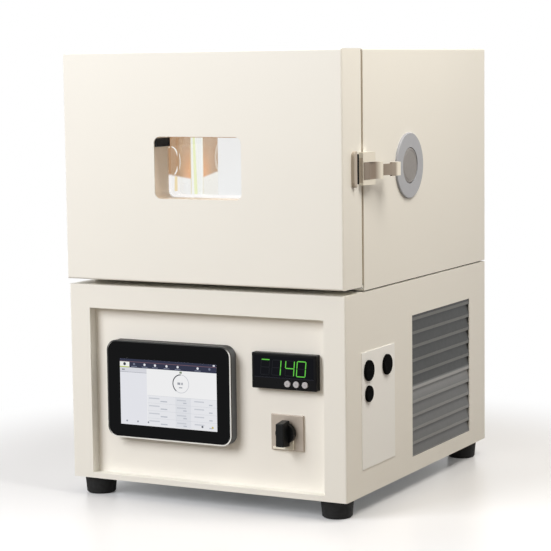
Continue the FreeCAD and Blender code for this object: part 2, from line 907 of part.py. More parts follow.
def side_grille():
    """The louvre in the right side: a frame with folded blades, each lapping behind the lip above."""
    low = (louvre_front + s.fit, louvre_low + s.fit)
    high = (louvre_back - s.fit, louvre_high - s.fit)
    start = half - s.gap - s.louvre_deep
    body = new_body("grille")
    drawn = sketch_on(body, "YZ", start)
    draw_outline(drawn, rectangle(low, high))
    pad(body, drawn, s.louvre_deep)
    opening = sketch_on(body, "YZ", start)
    inner_low, inner_high = inset(low, high, s.louvre_rim)
    draw_outline(opening, rectangle(inner_low, inner_high))
    pocket(body, opening, s.louvre_deep)
    pitch = (high[1] - low[1] - s.blade_drop - s.blade_end) / (BLADES - 1)
    face = half - s.gap - s.blade_skin / 2
    rear = start + s.blade_skin
    lip = high[1] - s.blade_drop
    lip_top = lip + s.blade_lip / 2
    lip_foot = lip - s.blade_lip / 2
    head = lip_foot + pitch + s.blade_lap
    blade = sketch_on(body, "XZ", low[0] + s.louvre_rim / 2)
    draw_outline(blade, [
        (face, lip_foot), (face, lip_top), (rear, head),
        (rear - s.blade_skin / 2, head - s.blade_skin),
        (face - s.blade_skin, lip_top - s.blade_skin / 2), (face - s.blade_skin, lip_foot),
    ])
    slat = pad(body, blade, high[0] - low[0] - s.louvre_rim)
    doc.recompute()
    row = repeat(body, slat, (blade, ["V_Axis"]), pitch * (BLADES - 1), BLADES)
    row.Reversed = True
    above_high = (half + 1, high[0] + 1, high[1] + pitch * 2)
    above = block("louvre_above", (start - 1, low[0] - 1, high[1]), above_high)
    below_low = (start - 1, low[0] - 1, low[1] - pitch * 2)
    below = block("louvre_below", below_low, (half + 1, high[0] + 1, low[1]))
    piece("side_grille", cut("louvre_trimmed", body, above, below))


def finned_coil(label, low, high, along, cut_from):
    """A finned coil: a block with a row of air gaps between its fins, cut in from one face."""
    body = new_body(label)
    plane = "YZ" if along == "Y" else "XZ"
    first = 1 if along == "Y" else 0
    depth_axis = 1 - first
    drawn = sketch_on(body, plane, low[depth_axis])
    draw_outline(drawn, rectangle((low[first], low[2]), (high[first], high[2])))
    pad(body, drawn, high[depth_axis] - low[depth_axis])
    edge = s.fin_pitch - s.fin_gap
    span = high[first] - low[first]
    fins = int((span - s.fin_gap - edge * 2).number / s.fin_pitch.number) + 1
    margin = (span - s.fin_pitch * (fins - 1) - s.fin_gap) / 2
    start = high[depth_axis] - s.fin_cut if cut_from == "high" else low[depth_axis]
    groove = sketch_on(body, plane, start)
    groove_low = (low[first] + margin, low[2] + edge * 2)
    groove_high = (low[first] + margin + s.fin_gap, high[2] - edge * 2)
    draw_outline(groove, rectangle(groove_low, groove_high))
    slot = pocket(body, groove, s.fin_cut)
    repeat(body, slot, (groove, ["H_Axis"]), s.fin_pitch * (fins - 1), fins)
    return body


def condenser():
    """The condenser behind the louvre, with its tube bends, and the fan that draws air through it."""
    face = half - s.gap - s.louvre_deep - s.coil_space
    rear = face - s.coil_deep
    mid_y = (louvre_front + louvre_back) / 2
    coil_low = (rear, mid_y - s.coil_wide / 2, floor_top)
    coil_high = (face, mid_y + s.coil_wide / 2, floor_top + s.coil_high)
    core = finned_coil("condenser_core", coil_low, coil_high, "Y", "high")
    bends = []
    pitch = s.bend_radius * 2.9
    middle = (rear + face) / 2
    for n in range(5):
        low = floor_top + s.bend_radius / 2 + pitch * n
        place = (middle, coil_high[1])
        bends.append(rod(f"tube_bend_{n}", "Z", place, low, s.bend_radius * 2, s.tube_radius))
    piece("condenser_coil", join("condenser", core, *bends))

    axis_z = floor_top + s.coil_high / 2
    shroud_front = rear - s.shroud_skin
    sheet_metal = block(
        "shroud_sheet", (shroud_front, coil_low[1], floor_top), (rear, coil_high[1], coil_high[2])
    )
    duct_radius = s.wheel_radius + s.wheel_gap
    duct = rod("shroud_duct", "-X", (mid_y, axis_z), rear, s.shroud_deep, duct_radius + s.shroud_skin)
    hole = rod("shroud_hole", "-X", (mid_y, axis_z), rear + 1, s.shroud_deep + 2, duct_radius)
    duct_end = rear - s.shroud_deep
    arm = duct_radius + s.shroud_skin
    upright = block(
        "strut_upright",
        (duct_end - s.shroud_skin, mid_y - s.strut_wide / 2, axis_z - arm),
        (duct_end, mid_y + s.strut_wide / 2, axis_z + arm),
    )
    level = block(
        "strut_level",
        (duct_end - s.shroud_skin, mid_y - arm, axis_z - s.strut_wide / 2),
        (duct_end, mid_y + arm, axis_z + s.strut_wide / 2),
    )
    bore = rod("strut_bore", "-X", (mid_y, axis_z), duct_end + 1, s.shroud_skin + 2, s.axle_radius + s.gap)
    shroud_ring = cut("shroud_ring", join("shroud_solid", sheet_metal, duct), hole)
    shroud = join("shroud_open", shroud_ring, upright, level)
    piece("condenser_fan_shroud", cut("shroud", shroud, bore))

    motor_front = duct_end - s.shroud_skin
    motor = rod("motor_can", "-X", (mid_y, axis_z), motor_front, s.motor_long, s.motor_radius)
    motor_bore = rod("motor_bore", "-X", (mid_y, axis_z), motor_front + 1, s.motor_long / 2 + 1,
                     s.axle_radius + s.running)
    piece("condenser_fan_motor", cut("fan_motor", motor, motor_bore))
    wheel = fan_wheel(
        "condenser_wheel", "-X", (mid_y, axis_z), rear - s.wheel_gap, s.wheel_hub, s.wheel_radius,
        s.wheel_wide, s.axle_radius, motor_front - s.motor_long / 2 + 1, WHEEL_BLADES,
    )
    piece("condenser_fan_wheel", wheel)


def fan_wheel(label, axis, across, start, hub, tip, wide, shaft, shaft_end, blades):
    """An axial fan wheel: a domed hub with twisted blades, and the shaft that drives it.

    The wheel is built along its own Z axis, from its front face, and then turned to its axis.
    """
    reach = start - shaft_end if axis.startswith("-") else shaft_end - start
    body = new_body(label)
    drawn = sketch_on(body, "XZ", 0)
    draw_outline(drawn, [
        (0, 0), (hub * 0.7, 0), (hub, hub * 0.3), (hub, wide), (shaft, wide), (shaft, reach), (0, reach),
    ])
    spun = body.newObject("PartDesign::Revolution", body.Name + "Hub")
    spun.Profile = drawn
    spun.ReferenceAxis = (drawn, ["V_Axis"])
    spun.Angle = 360
    root = blade_section(body, hub * 0.8, hub * 1.1, wide, 0.75)
    end = blade_section(body, tip, hub * 1.9, wide, 0.45)
    blade = body.newObject("PartDesign::AdditiveLoft", body.Name + "Blade")
    blade.Profile = root
    blade.Sections = [end]
    doc.recompute()
    spin_copies(body, blade, blades)
    body.Placement.Rotation = TURNS[axis]
    seat(body, *point_on(axis, across, start))
    return body


def blade_section(body, distance, chord, wide, rise):
    """The outline of a fan blade at one distance from the axis: a thin slanted strip."""
    drawn = sketch_on(body, "YZ", distance)
    mid = wide * 0.55
    run = chord / 2
    lift = wide * rise / 2
    thick = wide * 0.06
    draw_outline(drawn, [
        (-run, mid - lift - thick), (run, mid + lift - thick),
        (run, mid + lift + thick), (-run, mid - lift + thick),
    ])
    return drawn


def compressor():
    """The hermetic compressor: a welded can on a mounting plate with rubber grommets."""
    x = -half + s.compressor_side
    y = back - s.compressor_back
    radius = s.compressor_radius
    high = s.compressor_high
    start = floor_top + s.grommet_high + s.mount_thick
    seam = high * 0.45
    can = turned("compressor_can", "Z", (x, y), start - 1, [
        (0, 0), (radius * 0.8, 0), (radius, radius * 0.2), (radius, seam), (radius + s.weld_rim, seam),
        (radius + s.weld_rim, seam + s.weld_rim), (radius, seam + s.weld_rim), (radius, high * 0.8),
        (radius * 0.75, high * 0.97), (0, high),
    ])
    reach = radius * 0.95
    mount = block(
        "compressor_mount",
        (x - reach, y - reach, floor_top + s.grommet_high),
        (x + reach, y + reach, floor_top + s.grommet_high + s.mount_thick),
    )
    spot = reach - s.grommet_radius
    grommets = [
        rod(f"grommet_{n}", "Z", (x + spot * i, y + spot * j), floor_top, s.grommet_high + 1,
            s.grommet_radius)
        for n, (i, j) in enumerate([(-1, -1), (-1, 1), (1, -1), (1, 1)])
    ]
    terminals = block(
        "compressor_terminals",
        (x + radius * 0.8, y - radius * 0.35, start + high * 0.2),
        (x + radius * 1.35, y + radius * 0.35, start + high * 0.45),
    )
    piece("compressor", join("compressor_unit", can, mount, terminals, *grommets))


def control_box():
    """The sheet box of the controls on the floor pan, with a lid that laps its sides."""
    x = -half + s.control_side
    y = base_front + s.control_y
    wide = s.control_wide / 2
    deep = s.control_deep / 2
    case_high = (x + wide, y + deep, floor_top + s.control_high)
    box = block("control_case", (x - wide, y - deep, floor_top), case_high)
    lid_low = floor_top + s.control_high * 0.85
    lid = block(
        "control_lid",
        (x - wide - s.skin, y - deep - s.skin, lid_low),
        (x + wide + s.skin, y + deep + s.skin, floor_top + s.control_high + s.skin),
    )
    foot = block(
        "control_foot",
        (x - wide - s.panel_lap * 2, y - deep / 2, floor_top),
        (x + wide + s.panel_lap * 2, y + deep / 2, floor_top + s.skin),
    )
    piece("control_box", join("controls", box, lid, foot))


def vented_panel(label, low, high, slot_x, slot_z):
    """A rear panel with a row of air slots."""
    body = new_body(label)
    drawn = sketch_on(body, "XZ", back - s.skin)
    draw_outline(drawn, rectangle(low, high))
    pad(body, drawn, s.skin)
    slot = sketch_on(body, "XZ", back - s.skin)
    slot_low = (slot_x - s.slot_wide / 2, slot_z)
    draw_outline(slot, rectangle(slot_low, (slot_x + s.slot_wide / 2, slot_z + s.slot_high)))
    opening = pocket(body, slot, s.skin)
    repeat(body, opening, (slot, ["V_Axis"]), s.slot_pitch * (REAR_SLOTS - 1), REAR_SLOTS)
    return body


def rear_side():
    """The rear panels of base and upper body, and the mains inlet."""
    side = half - s.skin - s.fit
    lower = vented_panel(
        "lower_panel", (-side, floor_top + s.fit), (side, base_top - s.skin - s.fit), half / 2,
        s.foot_high + s.slot_rise,
    )
    x = -half + s.inlet_side
    z = s.foot_high + s.inlet_rise
    hole = block(
        "inlet_cutout",
        (x - s.inlet_box_wide / 2 - s.fit, back - s.skin - 1, z - s.inlet_box_high / 2 - s.fit),
        (x + s.inlet_box_wide / 2 + s.fit, back + 1, z + s.inlet_box_high / 2 + s.fit),
    )
    piece("base_rear_panel", cut("base_rear", lower, hole))
    upper = vented_panel(
        "upper_panel", (-side, upper_low + s.skin + s.fit), (side, top - s.skin - s.fit), 0, room_mid
    )
    piece("upper_rear_panel", upper)

    flange = plate(
        "inlet_flange", "XZ",
        (x - s.inlet_wide / 2, z - s.inlet_high / 2), (x + s.inlet_wide / 2, z + s.inlet_high / 2),
        back, s.inlet_proud, s.inlet_proud,
    )
    box = block(
        "inlet_box",
        (x - s.inlet_box_wide / 2, back - s.inlet_box_deep, z - s.inlet_box_high / 2),
        (x + s.inlet_box_wide / 2, back + s.inlet_proud / 2, z + s.inlet_box_high / 2),
    )
    mouth = back + s.inlet_proud
    well = block(
        "inlet_well",
        (x - s.socket_wide / 2, mouth - s.socket_deep, z - s.socket_high / 2),
        (x + s.socket_wide / 2, mouth + 1, z + s.socket_high / 2),
    )
    prongs = [
        block(
            f"prong_{n}",
            (x + s.prong_pitch * n - s.prong_wide / 2, mouth - s.socket_deep - 1, z - s.prong_high / 2),
            (x + s.prong_pitch * n + s.prong_wide / 2, mouth - s.prong_inset, z + s.prong_high / 2),
        )
        for n in (-1, 0, 1)
    ]
    piece("mains_inlet", join("inlet", cut("inlet_socket", join("inlet_solid", flange, box), well), *prongs))


def upper_body():
    """The upper housing on its foam strip, the face frame, the insulation and the steel liner."""
    strip_inset = s.bend * 2
    strip = ring(
        "strip", "XY", (-half + strip_inset, upper_front + strip_inset),
        (half - strip_inset, back - strip_inset),
        s.seal_wide, base_top, s.seam_high,
    )
    piece("seam_strip", strip)

    outer = block("upper_outer", (-half, upper_front, upper_low), (half, back, top))
    top_line = top.number - 0.01
    rounded = soften(
        "upper_bent", outer, s.bend,
        lambda e: is_along(e, "y") and e.Vertexes[0].Point.z > top_line,
    )
    inner = block(
        "upper_inner", (-half + s.skin, upper_front - 1, upper_low + s.skin),
        (half - s.skin, back + 1, top - s.skin)
    )
    holes = [
        rod(f"housing_port_{n}", "X", (port_y, port_z), -half - 1, s.width + 2, bore_radius) for n in (0,)
    ]
    piece("upper_housing", cut("upper_wrap", rounded, inner, *holes))

    frame_low = (-half + s.skin, upper_low + s.skin)
    frame_high = (half - s.skin, top - s.skin)
    hole_low = (-room_half - s.liner_skin, room_low - s.liner_skin)
    hole_high = (room_half + s.liner_skin, room_top + s.liner_skin)
    frame = plate("face_blank", "XZ", frame_low, frame_high, upper_front, s.face_deep)
    opening = plate("face_opening", "XZ", hole_low, hole_high, upper_front, s.face_deep)
    piece("face_frame", cut("face", frame, opening))

    shell_low = (hole_low[0], upper_front, hole_low[1])
    shell_high = (hole_high[0], liner_rear, hole_high[1])
    shell = block("liner_outer", shell_low, shell_high)
    room = block("liner_room", (-room_half, upper_front - 1, room_low), (room_half, liner_back, room_top))
    bore = rod("liner_port", "X", (port_y, port_z), -half, s.width, bore_radius)
    shaft = rod("liner_shaft", "Y", (0, room_mid), liner_back - 1, s.liner_skin + 2, shaft_hole)
    piece("test_space_liner", cut("liner", shell, room, bore, shaft))

    core_low = (frame_low[0], upper_front + s.face_deep, frame_low[1])
    core = block("core_outer", core_low, (frame_high[0], core_back, frame_high[1]))
    hollow = block("core_hollow", (shell_low[0], upper_front, shell_low[2]), shell_high)
    core_bore = rod("core_port", "X", (port_y, port_z), -half, s.width, bore_radius)
    core_long = s.rear_wall + s.liner_skin + 2
    core_shaft = rod("core_shaft", "Y", (0, room_mid), liner_back - 1, core_long, shaft_hole)
    piece("insulation", cut("core", core, hollow, core_bore, core_shaft))


def air_system():
    """What stirs and tempers the air behind the baffle, and the sensor in front of it."""
    edge = s.gap
    body = new_body("baffle")
    drawn = sketch_on(body, "XZ", baffle_front)
    low = (-room_half + edge, room_low)
    high = (room_half - edge, room_top - edge)
    draw_outline(drawn, rectangle(low, high))
    draw_circle(drawn, (0, room_mid), s.inlet_radius)
    pad(body, drawn, s.baffle_skin)
    span = s.outlet_pitch * (OUTLETS - 1)
    for z in (low[1] + s.outlet_rise, high[1] - s.outlet_rise - s.outlet_high):
        slot = sketch_on(body, "XZ", baffle_front)
        start = -(span + s.outlet_wide) / 2
        draw_outline(slot, rectangle((start, z), (start + s.outlet_wide, z + s.outlet_high)))
        opening = pocket(body, slot, s.baffle_skin)
        repeat(body, opening, (slot, ["H_Axis"]), span, OUTLETS)
    piece("air_baffle", body)

    wheel_front = baffle_front + s.baffle_skin + s.fan_space
    wheel = fan_wheel(
        "circulation_wheel", "Y", (0, room_mid), wheel_front, s.fan_hub, s.fan_radius, s.fan_wide,
        s.fan_shaft, core_back + s.fan_bore - 1, FAN_BLADES,
    )
    piece("circulation_fan_wheel", wheel)

    flange = s.fan_flange / 2
    foot = plate(
        "motor_flange", "XZ", (-flange, room_mid - flange), (flange, room_mid + flange), core_back,
        s.fan_flange_thick, s.fan_flange / 10,
    )
    can = rod("fan_motor_can", "Y", (0, room_mid), core_back + 1, s.fan_motor_long, s.fan_motor_radius)
    bore = rod("fan_motor_bore", "Y", (0, room_mid), core_back - 1, s.fan_bore + 1, s.fan_shaft + s.running)
    piece("circulation_fan_motor", cut("fan_drive", join("fan_drive_solid", foot, can), bore))

    ring_y = wheel_front + s.fan_wide + s.heater_radius * 2
    flat = s.heater_radius / 2
    hoop = turned("heater_ring", "Y", (0, room_mid), ring_y, [
        (s.ring_radius - s.heater_radius, -flat), (s.ring_radius - flat, -s.heater_radius),
        (s.ring_radius + flat, -s.heater_radius), (s.ring_radius + s.heater_radius, -flat),
        (s.ring_radius + s.heater_radius, flat), (s.ring_radius + flat, s.heater_radius),
        (s.ring_radius - flat, s.heater_radius), (s.ring_radius - s.heater_radius, flat),
    ])
    legs = [
        rod(f"heater_leg_{n}", "Y", (s.ring_radius * side, room_mid), ring_y, liner_back - ring_y,
            s.heater_radius * 0.75)
        for n, side in enumerate((-1, 1))
    ]
    piece("heater", join("heater_rod", hoop, *legs))

    coil_x = -room_half + s.evaporator_side
    coil_end = -s.ring_radius - s.heater_radius - s.evaporator_gap
    coil_y = baffle_front + s.duct_deep / 2
    coil = finned_coil(
        "cooler",
        (coil_x, coil_y - s.evaporator_deep / 2, room_low),
        (coil_end, coil_y + s.evaporator_deep / 2, room_low + s.evaporator_high),
        "X", "low",
    )
    piece("evaporator", coil)

    place = (room_half - s.sensor_side, room_top - s.sensor_drop)
    tip = s.sensor_radius
    probe = turned("probe", "-Y", place, baffle_front, [
        (0, 0), (s.sensor_flange, 0), (s.sensor_flange, s.rail_skin), (tip, s.rail_skin),
        (tip, s.sensor_long - tip), (tip / 2, s.sensor_long), (0, s.sensor_long),
    ])
    piece("temperature_sensor", probe)


def shelf():
    """The wire shelf and the two rails that carry it."""
    rail_top = room_low + s.rail_rise
    rail_front = upper_front + s.pad_deep - s.seal_space + s.rail_space
    rail_back = baffle_front - s.gap
    rails = []
    for name, side in (("left", -1), ("right", 1)):
        wall_x = room_half * side
        edge_x = (room_half - s.rail_wide) * side
        thin_x = (room_half - s.rail_skin) * side
        x_low, x_high = (wall_x, edge_x) if side < 0 else (edge_x, wall_x)
        t_low, t_high = (wall_x, thin_x) if side < 0 else (thin_x, wall_x)
        ledge_low = (x_low, rail_front, rail_top - s.rail_skin)
        ledge = block(f"rail_ledge_{name}", ledge_low, (x_high, rail_back, rail_top))
        web_low = (t_low, rail_front, rail_top - s.rail_high)
        web = block(f"rail_web_{name}", web_low, (t_high, rail_back, rail_top))
        rails.append(join(f"rail_{name}", ledge, web))
    piece("shelf_rails", join("rails", *rails), len(rails))

    z = rail_top + s.gap + s.rod_radius
    side_x = room_half - s.shelf_space - s.rod_radius
    front_y = upper_front + s.shelf_front
    back_y = baffle_front - s.shelf_back
    deep = back_y - front_y
    strip_front = front_y + s.strip_wide
    strip_back = back_y - s.strip_wide
    thick = s.rod_radius * 0.8
    bars = [
        rod("shelf_side_left", "Y", (-side_x, z), front_y, deep, s.rod_radius),
        rod("shelf_side_right", "Y", (side_x, z), front_y, deep, s.rod_radius),
        block("shelf_front_bar", (-side_x, front_y + s.rod_radius, z - thick),
              (side_x, strip_front, z + thick)),
        block("shelf_back_bar", (-side_x, strip_back, z - thick),
              (side_x, back_y - s.rod_radius, z + thick)),
    ]
    pitch = side_x * 2 / (SHELF_WIRES + 1)
    for n in range(1, SHELF_WIRES + 1):
        place = (-side_x + pitch * n, z)
        long = strip_back - strip_front + 2
        bars.append(rod(f"shelf_wire_{n}", "Y", place, strip_front - 1, long, s.wire_radius))
    piece("shelf", join("wire_shelf", *bars))


def entry_ports():
    """The two entry ports through the side walls, and the silicone plugs that close them."""
    bore = s.port_radius
    tube = bore + s.port_skin
    lip = tube + s.port_lip
    face = s.wall + s.port_flange_thick
    profile = [
        (bore, -s.port_lip_thick), (lip, -s.port_lip_thick), (lip, 0), (tube, 0), (tube, s.wall),
        (s.port_flange, s.wall), (s.port_flange, face - s.port_edge), (s.port_flange - s.port_edge, face),
        (bore, face),
    ]
    right = turned("port_right", "X", (port_y, port_z), room_half, profile)
    left = turned("port_left", "-X", (port_y, port_z), -room_half, profile)
    tubes = [right, left]
    piece("port_tubes", join("ports", *tubes), len(tubes))
    radius = bore - s.plug_space
    length = face - s.plug_inset
    plug = [
        (0, 0), (radius - s.plug_inset, 0), (radius, s.plug_inset), (radius, length - s.plug_edge),
        (radius - s.plug_edge, length), (0, length),
    ]
    piece("port_plug_right", turned("plug_right", "X", (port_y, port_z), room_half, plug))
    piece("port_plug_left", turned("plug_left", "-X", (port_y, port_z), -room_half, plug))


def hinges():
    """The two lift-off hinges on the left side: a leaf on the body, a leaf on the door and a pin each."""
    axis_x = -half - s.hinge_out
    axis_y = door_back + s.hinge_back
    clear = s.hinge_knuckle
    pins = []
    body_leaves = []
    door_leaves = []
    for n, mid in enumerate((door_low + s.hinge_inset, top - s.hinge_inset)):
        low = mid - s.hinge_high / 2
        high = mid + s.hinge_high / 2
        leaf_out = -half - s.hinge_leaf
        pin = rod(f"pin_{n}", "Z", (axis_x, axis_y), low, s.hinge_high, s.hinge_pin)
        pins.append(pin)
        bore = s.hinge_pin + s.running

        long = mid - s.gap / 2 - low
        knuckle = rod(f"body_knuckle_{n}", "Z", (axis_x, axis_y), low, long, s.hinge_knuckle)
        leaf_high = (-half, axis_y + clear + s.hinge_wide, high)
        leaf = block(f"body_plate_{n}", (leaf_out, axis_y + clear, low), leaf_high)
        web = block(f"body_web_{n}", (axis_x, axis_y, low), (-half, axis_y + clear + 1, mid - s.gap / 2))
        hole = rod(f"body_bore_{n}", "Z", (axis_x, axis_y), low - 1, s.hinge_high + 2, bore)
        body_leaves.append(cut(f"body_leaf_{n}", join(f"body_leaf_solid_{n}", knuckle, leaf, web), hole))

        knuckle = rod(f"door_knuckle_{n}", "Z", (axis_x, axis_y), mid + s.gap / 2, high - mid - s.gap / 2,
                      s.hinge_knuckle)
        leaf_low = (leaf_out, axis_y - clear - s.hinge_wide, low)
        leaf = block(f"door_plate_{n}", leaf_low, (-half, axis_y - clear, high))
        web_low = (axis_x, axis_y - clear - 1, mid + s.gap / 2)
        web = block(f"door_web_{n}", web_low, (-half - s.gap, axis_y, high))
        hole = rod(f"door_bore_{n}", "Z", (axis_x, axis_y), low - 1, s.hinge_high + 2, bore)
        door_leaves.append(cut(f"door_leaf_{n}", join(f"door_leaf_solid_{n}", knuckle, leaf, web), hole))
    piece("hinge_pins", join("pins", *pins), len(pins))
    piece("body_hinge_leaves", join("body_leaves", *body_leaves), len(body_leaves))
    piece("door_hinge_leaves", join("door_leaves", *door_leaves), len(door_leaves))


# Window in the door
window_x = s.window_x
window_low = (window_x - s.window_wide / 2, door_low + s.window_rise)
window_high = (window_x + s.window_wide / 2, door_low + s.window_rise + s.window_high)
pad_face = door_back + s.pad_deep
pane_front = door_front + s.reveal_deep
inner_pane_front = pad_face - s.pane_inset - s.pane_thick


def window_solid(label, grow, start, end):
    """The space of the window between two depths, grown by a margin all round."""
    low, high = inset(window_low, window_high, -grow)
    return plate(label, "XZ", low, high, start, end - start, s.window_round + grow)


def door():
    """The door: folded outer skin, foam core, inner skin with its raised pad, and the seal."""
    outer = block("door_outer", (-half, door_front, door_low), (half, door_back, top))
    front_line = door_front.number + 0.01
    rounded = soften("door_bent", outer, s.bend, lambda e: max(v.Point.y for v in e.Vertexes) < front_line)
    inner = block(
        "door_hollow", (-half + s.skin, door_front + s.skin, door_low + s.skin),
        (half - s.skin, door_back + 1, top - s.skin),
    )
    hole = window_solid("door_window", as_size(0), door_front - 1, door_front + s.skin + 1)
    piece("door_outer_skin", cut("door_skin", rounded, inner, hole))

    side = half - s.skin
    low_z = door_low + s.skin
    high_z = top - s.skin
    plate_front = door_back - s.skin
    pad_low = (-room_half + s.pad_space, room_low + s.pad_space)
    pad_high = (room_half - s.pad_space, room_top - s.pad_space)
    thin_low, thin_high = inset(pad_low, pad_high, s.skin)
    sheet_metal = block("inner_sheet", (-side, plate_front, low_z), (side, door_back, high_z))
    raised = block("inner_pad", (pad_low[0], plate_front, pad_low[1]), (pad_high[0], pad_face, pad_high[1]))
    hollow = block(
        "inner_hollow", (thin_low[0], plate_front - 1, thin_low[1]),
        (thin_high[0], pad_face - s.skin, thin_high[1])
    )
    opening = window_solid("inner_window", s.window_skin, plate_front - 1, pad_face + 1)
    piece("door_inner_skin", cut("inner_skin", join("inner_solid", sheet_metal, raised), hollow, opening))

    foam = block("foam_slab", (-side, door_front + s.skin, low_z), (side, plate_front, high_z))
    filling = block(
        "foam_pad", (thin_low[0], plate_front - 1, thin_low[1]),
        (thin_high[0], pad_face - s.skin, thin_high[1])
    )
    tunnel = window_solid("foam_window", s.window_skin, door_front, pad_face)
    piece("door_insulation", cut("foam", join("foam_solid", foam, filling), tunnel))

    seal_low = (-half + s.seal_inset, door_low + s.seal_inset)
    seal_high = (half - s.seal_inset, top - s.seal_inset)
    body = new_body("seal")
    drawn = sketch_on(body, "XZ", door_back)
    draw_outline(drawn, rectangle(seal_low, seal_high))
    pad(body, drawn, s.seal_space - s.gap)
    opening = sketch_on(body, "XZ", door_back)
    draw_outline(opening, rectangle(*inset(seal_low, seal_high, s.seal_wide)))
    hollow = pocket(body, opening, s.seal_space)
    rear_line = upper_front.number - s.gap.number - 0.01
    round_edges(body, hollow, s.seal_round, lambda e: min(v.Point.y for v in e.Vertexes) > rear_line)
    piece("door_gasket", body)


def door_window():
    """The window tunnel with its beads, the two panes and the lamp holder beside the outer pane."""
    tunnel = window_solid("tunnel_outer", s.window_skin, door_front + s.skin, pad_face)
    clear = window_solid("tunnel_inner", as_size(0), door_front, pad_face + 1)
    beads = []
    for n, start in enumerate((pane_front + s.pane_thick, inner_pane_front - s.bead_thick)):
        outer = window_solid(f"bead_outer_{n}", s.window_skin / 2, start, start + s.bead_thick)
        inner = window_solid(f"bead_inner_{n}", -s.bead_wide, start, start + s.bead_thick)
        beads.append(cut(f"bead_{n}", outer, inner))
    piece("window_frame", join("window_tunnel", cut("tunnel", tunnel, clear), *beads))
    margin = -s.running
    outer_pane = window_solid("outer_pane", margin, pane_front, pane_front + s.pane_thick)
    piece("window_outer_pane", outer_pane)
    inner_pane = window_solid("inner_pane", margin, inner_pane_front, inner_pane_front + s.pane_thick)
    piece("window_inner_pane", inner_pane)
    lamp = block(
        "lamp_block",
        (window_low[0] - 1, door_front + s.lamp_inset, window_high[1] - s.lamp_high),
        (window_low[0] + s.lamp_thick, pane_front, window_high[1] + 1),
    )
    space = window_solid("lamp_space", margin, door_front, pane_front)
    piece("window_lamp", common("lamp", lamp, space))


def latch():
    """The door latch on the right side: keeper on the door, housing, pin and lever on the body."""
    mid = upper_low + s.latch_rise
    keeper_low = (base_front + s.keeper_front, mid - s.keeper_high / 2)
    keeper_high = (keeper_low[0] + s.keeper_wide, mid + s.keeper_high / 2)
    keeper = plate("keeper_blank", "YZ", keeper_low, keeper_high, half, s.keeper_thick)
    front_line = keeper_low[0].number + 0.01
    bowed = round_edges(
        keeper, keeper.Tip, s.keeper_round,
        lambda e: is_along(e, "x") and e.Vertexes[0].Point.y < front_line,
    )
    out_line = half.number + s.keeper_thick.number - 0.01
    back_line = keeper_high[0].number - 0.01
    round_edges(
        keeper, bowed, s.keeper_thick / 3,
        lambda e: (min(v.Point.x for v in e.Vertexes) > out_line
                   and min(v.Point.y for v in e.Vertexes) < back_line),
    )
    piece("latch_keeper", keeper)

    pivot_x = half + s.pivot_out
    pivot_y = base_front + s.pivot_y
    low = mid - s.latch_high / 2
    high = mid + s.latch_high / 2
    front_y = base_front + s.latch_front
    rear_y = front_y + s.latch_long
    stand_x = half + s.latch_stand
    front_x = half + s.latch_out
    rear_x = front_x + s.latch_flare
    cheek_y = pivot_y - s.hub_radius - s.gap
    lean = (cheek_y - front_y) * (s.latch_flare.number / s.latch_long.number)
    foot = block("latch_foot", (half, upper_front + s.gap, low), (half + s.latch_plate, rear_y, high))
    cheek = prism("latch_cheek", "XY", [
        (stand_x, front_y), (front_x - s.cheek_sink, front_y), (front_x - s.cheek_sink + lean, cheek_y),
        (stand_x, cheek_y),
    ], low, s.latch_high)
    outline = [(stand_x, front_y), (front_x, front_y), (rear_x, rear_y), (stand_x, rear_y)]
    upper_ear = prism("latch_upper_ear", "XY", outline, high - s.ear_high, s.ear_high)
    lower_ear = prism("latch_lower_ear", "XY", outline, low, s.lower_ear_high)
    bore = rod("latch_bore", "Z", (pivot_x, pivot_y), low - 1, s.latch_high + 2, s.pivot_radius + s.running)
    solid = join("latch_solid", foot, cheek, upper_ear, lower_ear)
    piece("latch_housing", cut("latch_body", solid, bore))
    piece("latch_pin", rod("latch_axle", "Z", (pivot_x, pivot_y), low, s.latch_high, s.pivot_radius))

    lever_low = low + s.lower_ear_high + s.gap
    lever_high = high - s.ear_high - s.gap
    lever_mid = (lever_low + lever_high) / 2
    hub = rod("lever_hub", "Z", (pivot_x, pivot_y), lever_low, lever_high - lever_low, s.hub_radius)
    knee_x = half + s.latch_out + s.latch_flare - s.cheek_sink
    knee_y = pivot_y + s.knuckle_y
    crest_x = knee_x + s.knuckle_rise
    crest_y = knee_y + s.knuckle_long
    step_x = crest_x - s.bar_sink
    arm = prism("lever_arm", "XY", [
        (pivot_x + s.hub_radius * 0.75, pivot_y - s.hub_radius * 0.6), (knee_x, knee_y),
        (crest_x, crest_y), (step_x, crest_y + s.gap), (step_x - s.bar_thick, crest_y - s.bar_thick),
        (pivot_x + s.hub_radius * 0.4, pivot_y + s.hub_radius * 1.5), (pivot_x, pivot_y),
    ], lever_low, lever_high - lever_low)
    end_x = step_x + s.bar_rise
    end_y = crest_y + s.bar_long
    bar = prism("lever_bar", "XY", [
        (step_x, crest_y - s.gap), (end_x, end_y), (end_x - s.bar_thick, end_y + s.gap),
        (step_x - s.bar_thick, crest_y),
    ], lever_mid - s.bar_high / 2, s.bar_high)
    tip_y = end_y + s.grip_long
    grip = prism("lever_grip", "XY", [
        (end_x - s.gap, end_y - s.gap), (end_x + s.tip_radius * 0.97, tip_y - s.tip_radius / 4),
        (end_x, tip_y), (end_x - s.tip_radius * 0.99, tip_y), (end_x - s.bar_thick - s.gap, end_y),
    ], lever_mid - s.tip_high / 2, s.tip_high)
    tip = rod("lever_tip", "Z", (end_x, tip_y), lever_mid - s.tip_high / 2, s.tip_high, s.tip_radius)
    lever = join("lever_solid", hub, arm, bar, grip, tip)
    eye = rod("lever_eye", "Z", (pivot_x, pivot_y), lever_low - 1, lever_high - lever_low + 2,
              s.pivot_radius + s.running)
    piece("latch_lever", cut("lever", lever, eye))


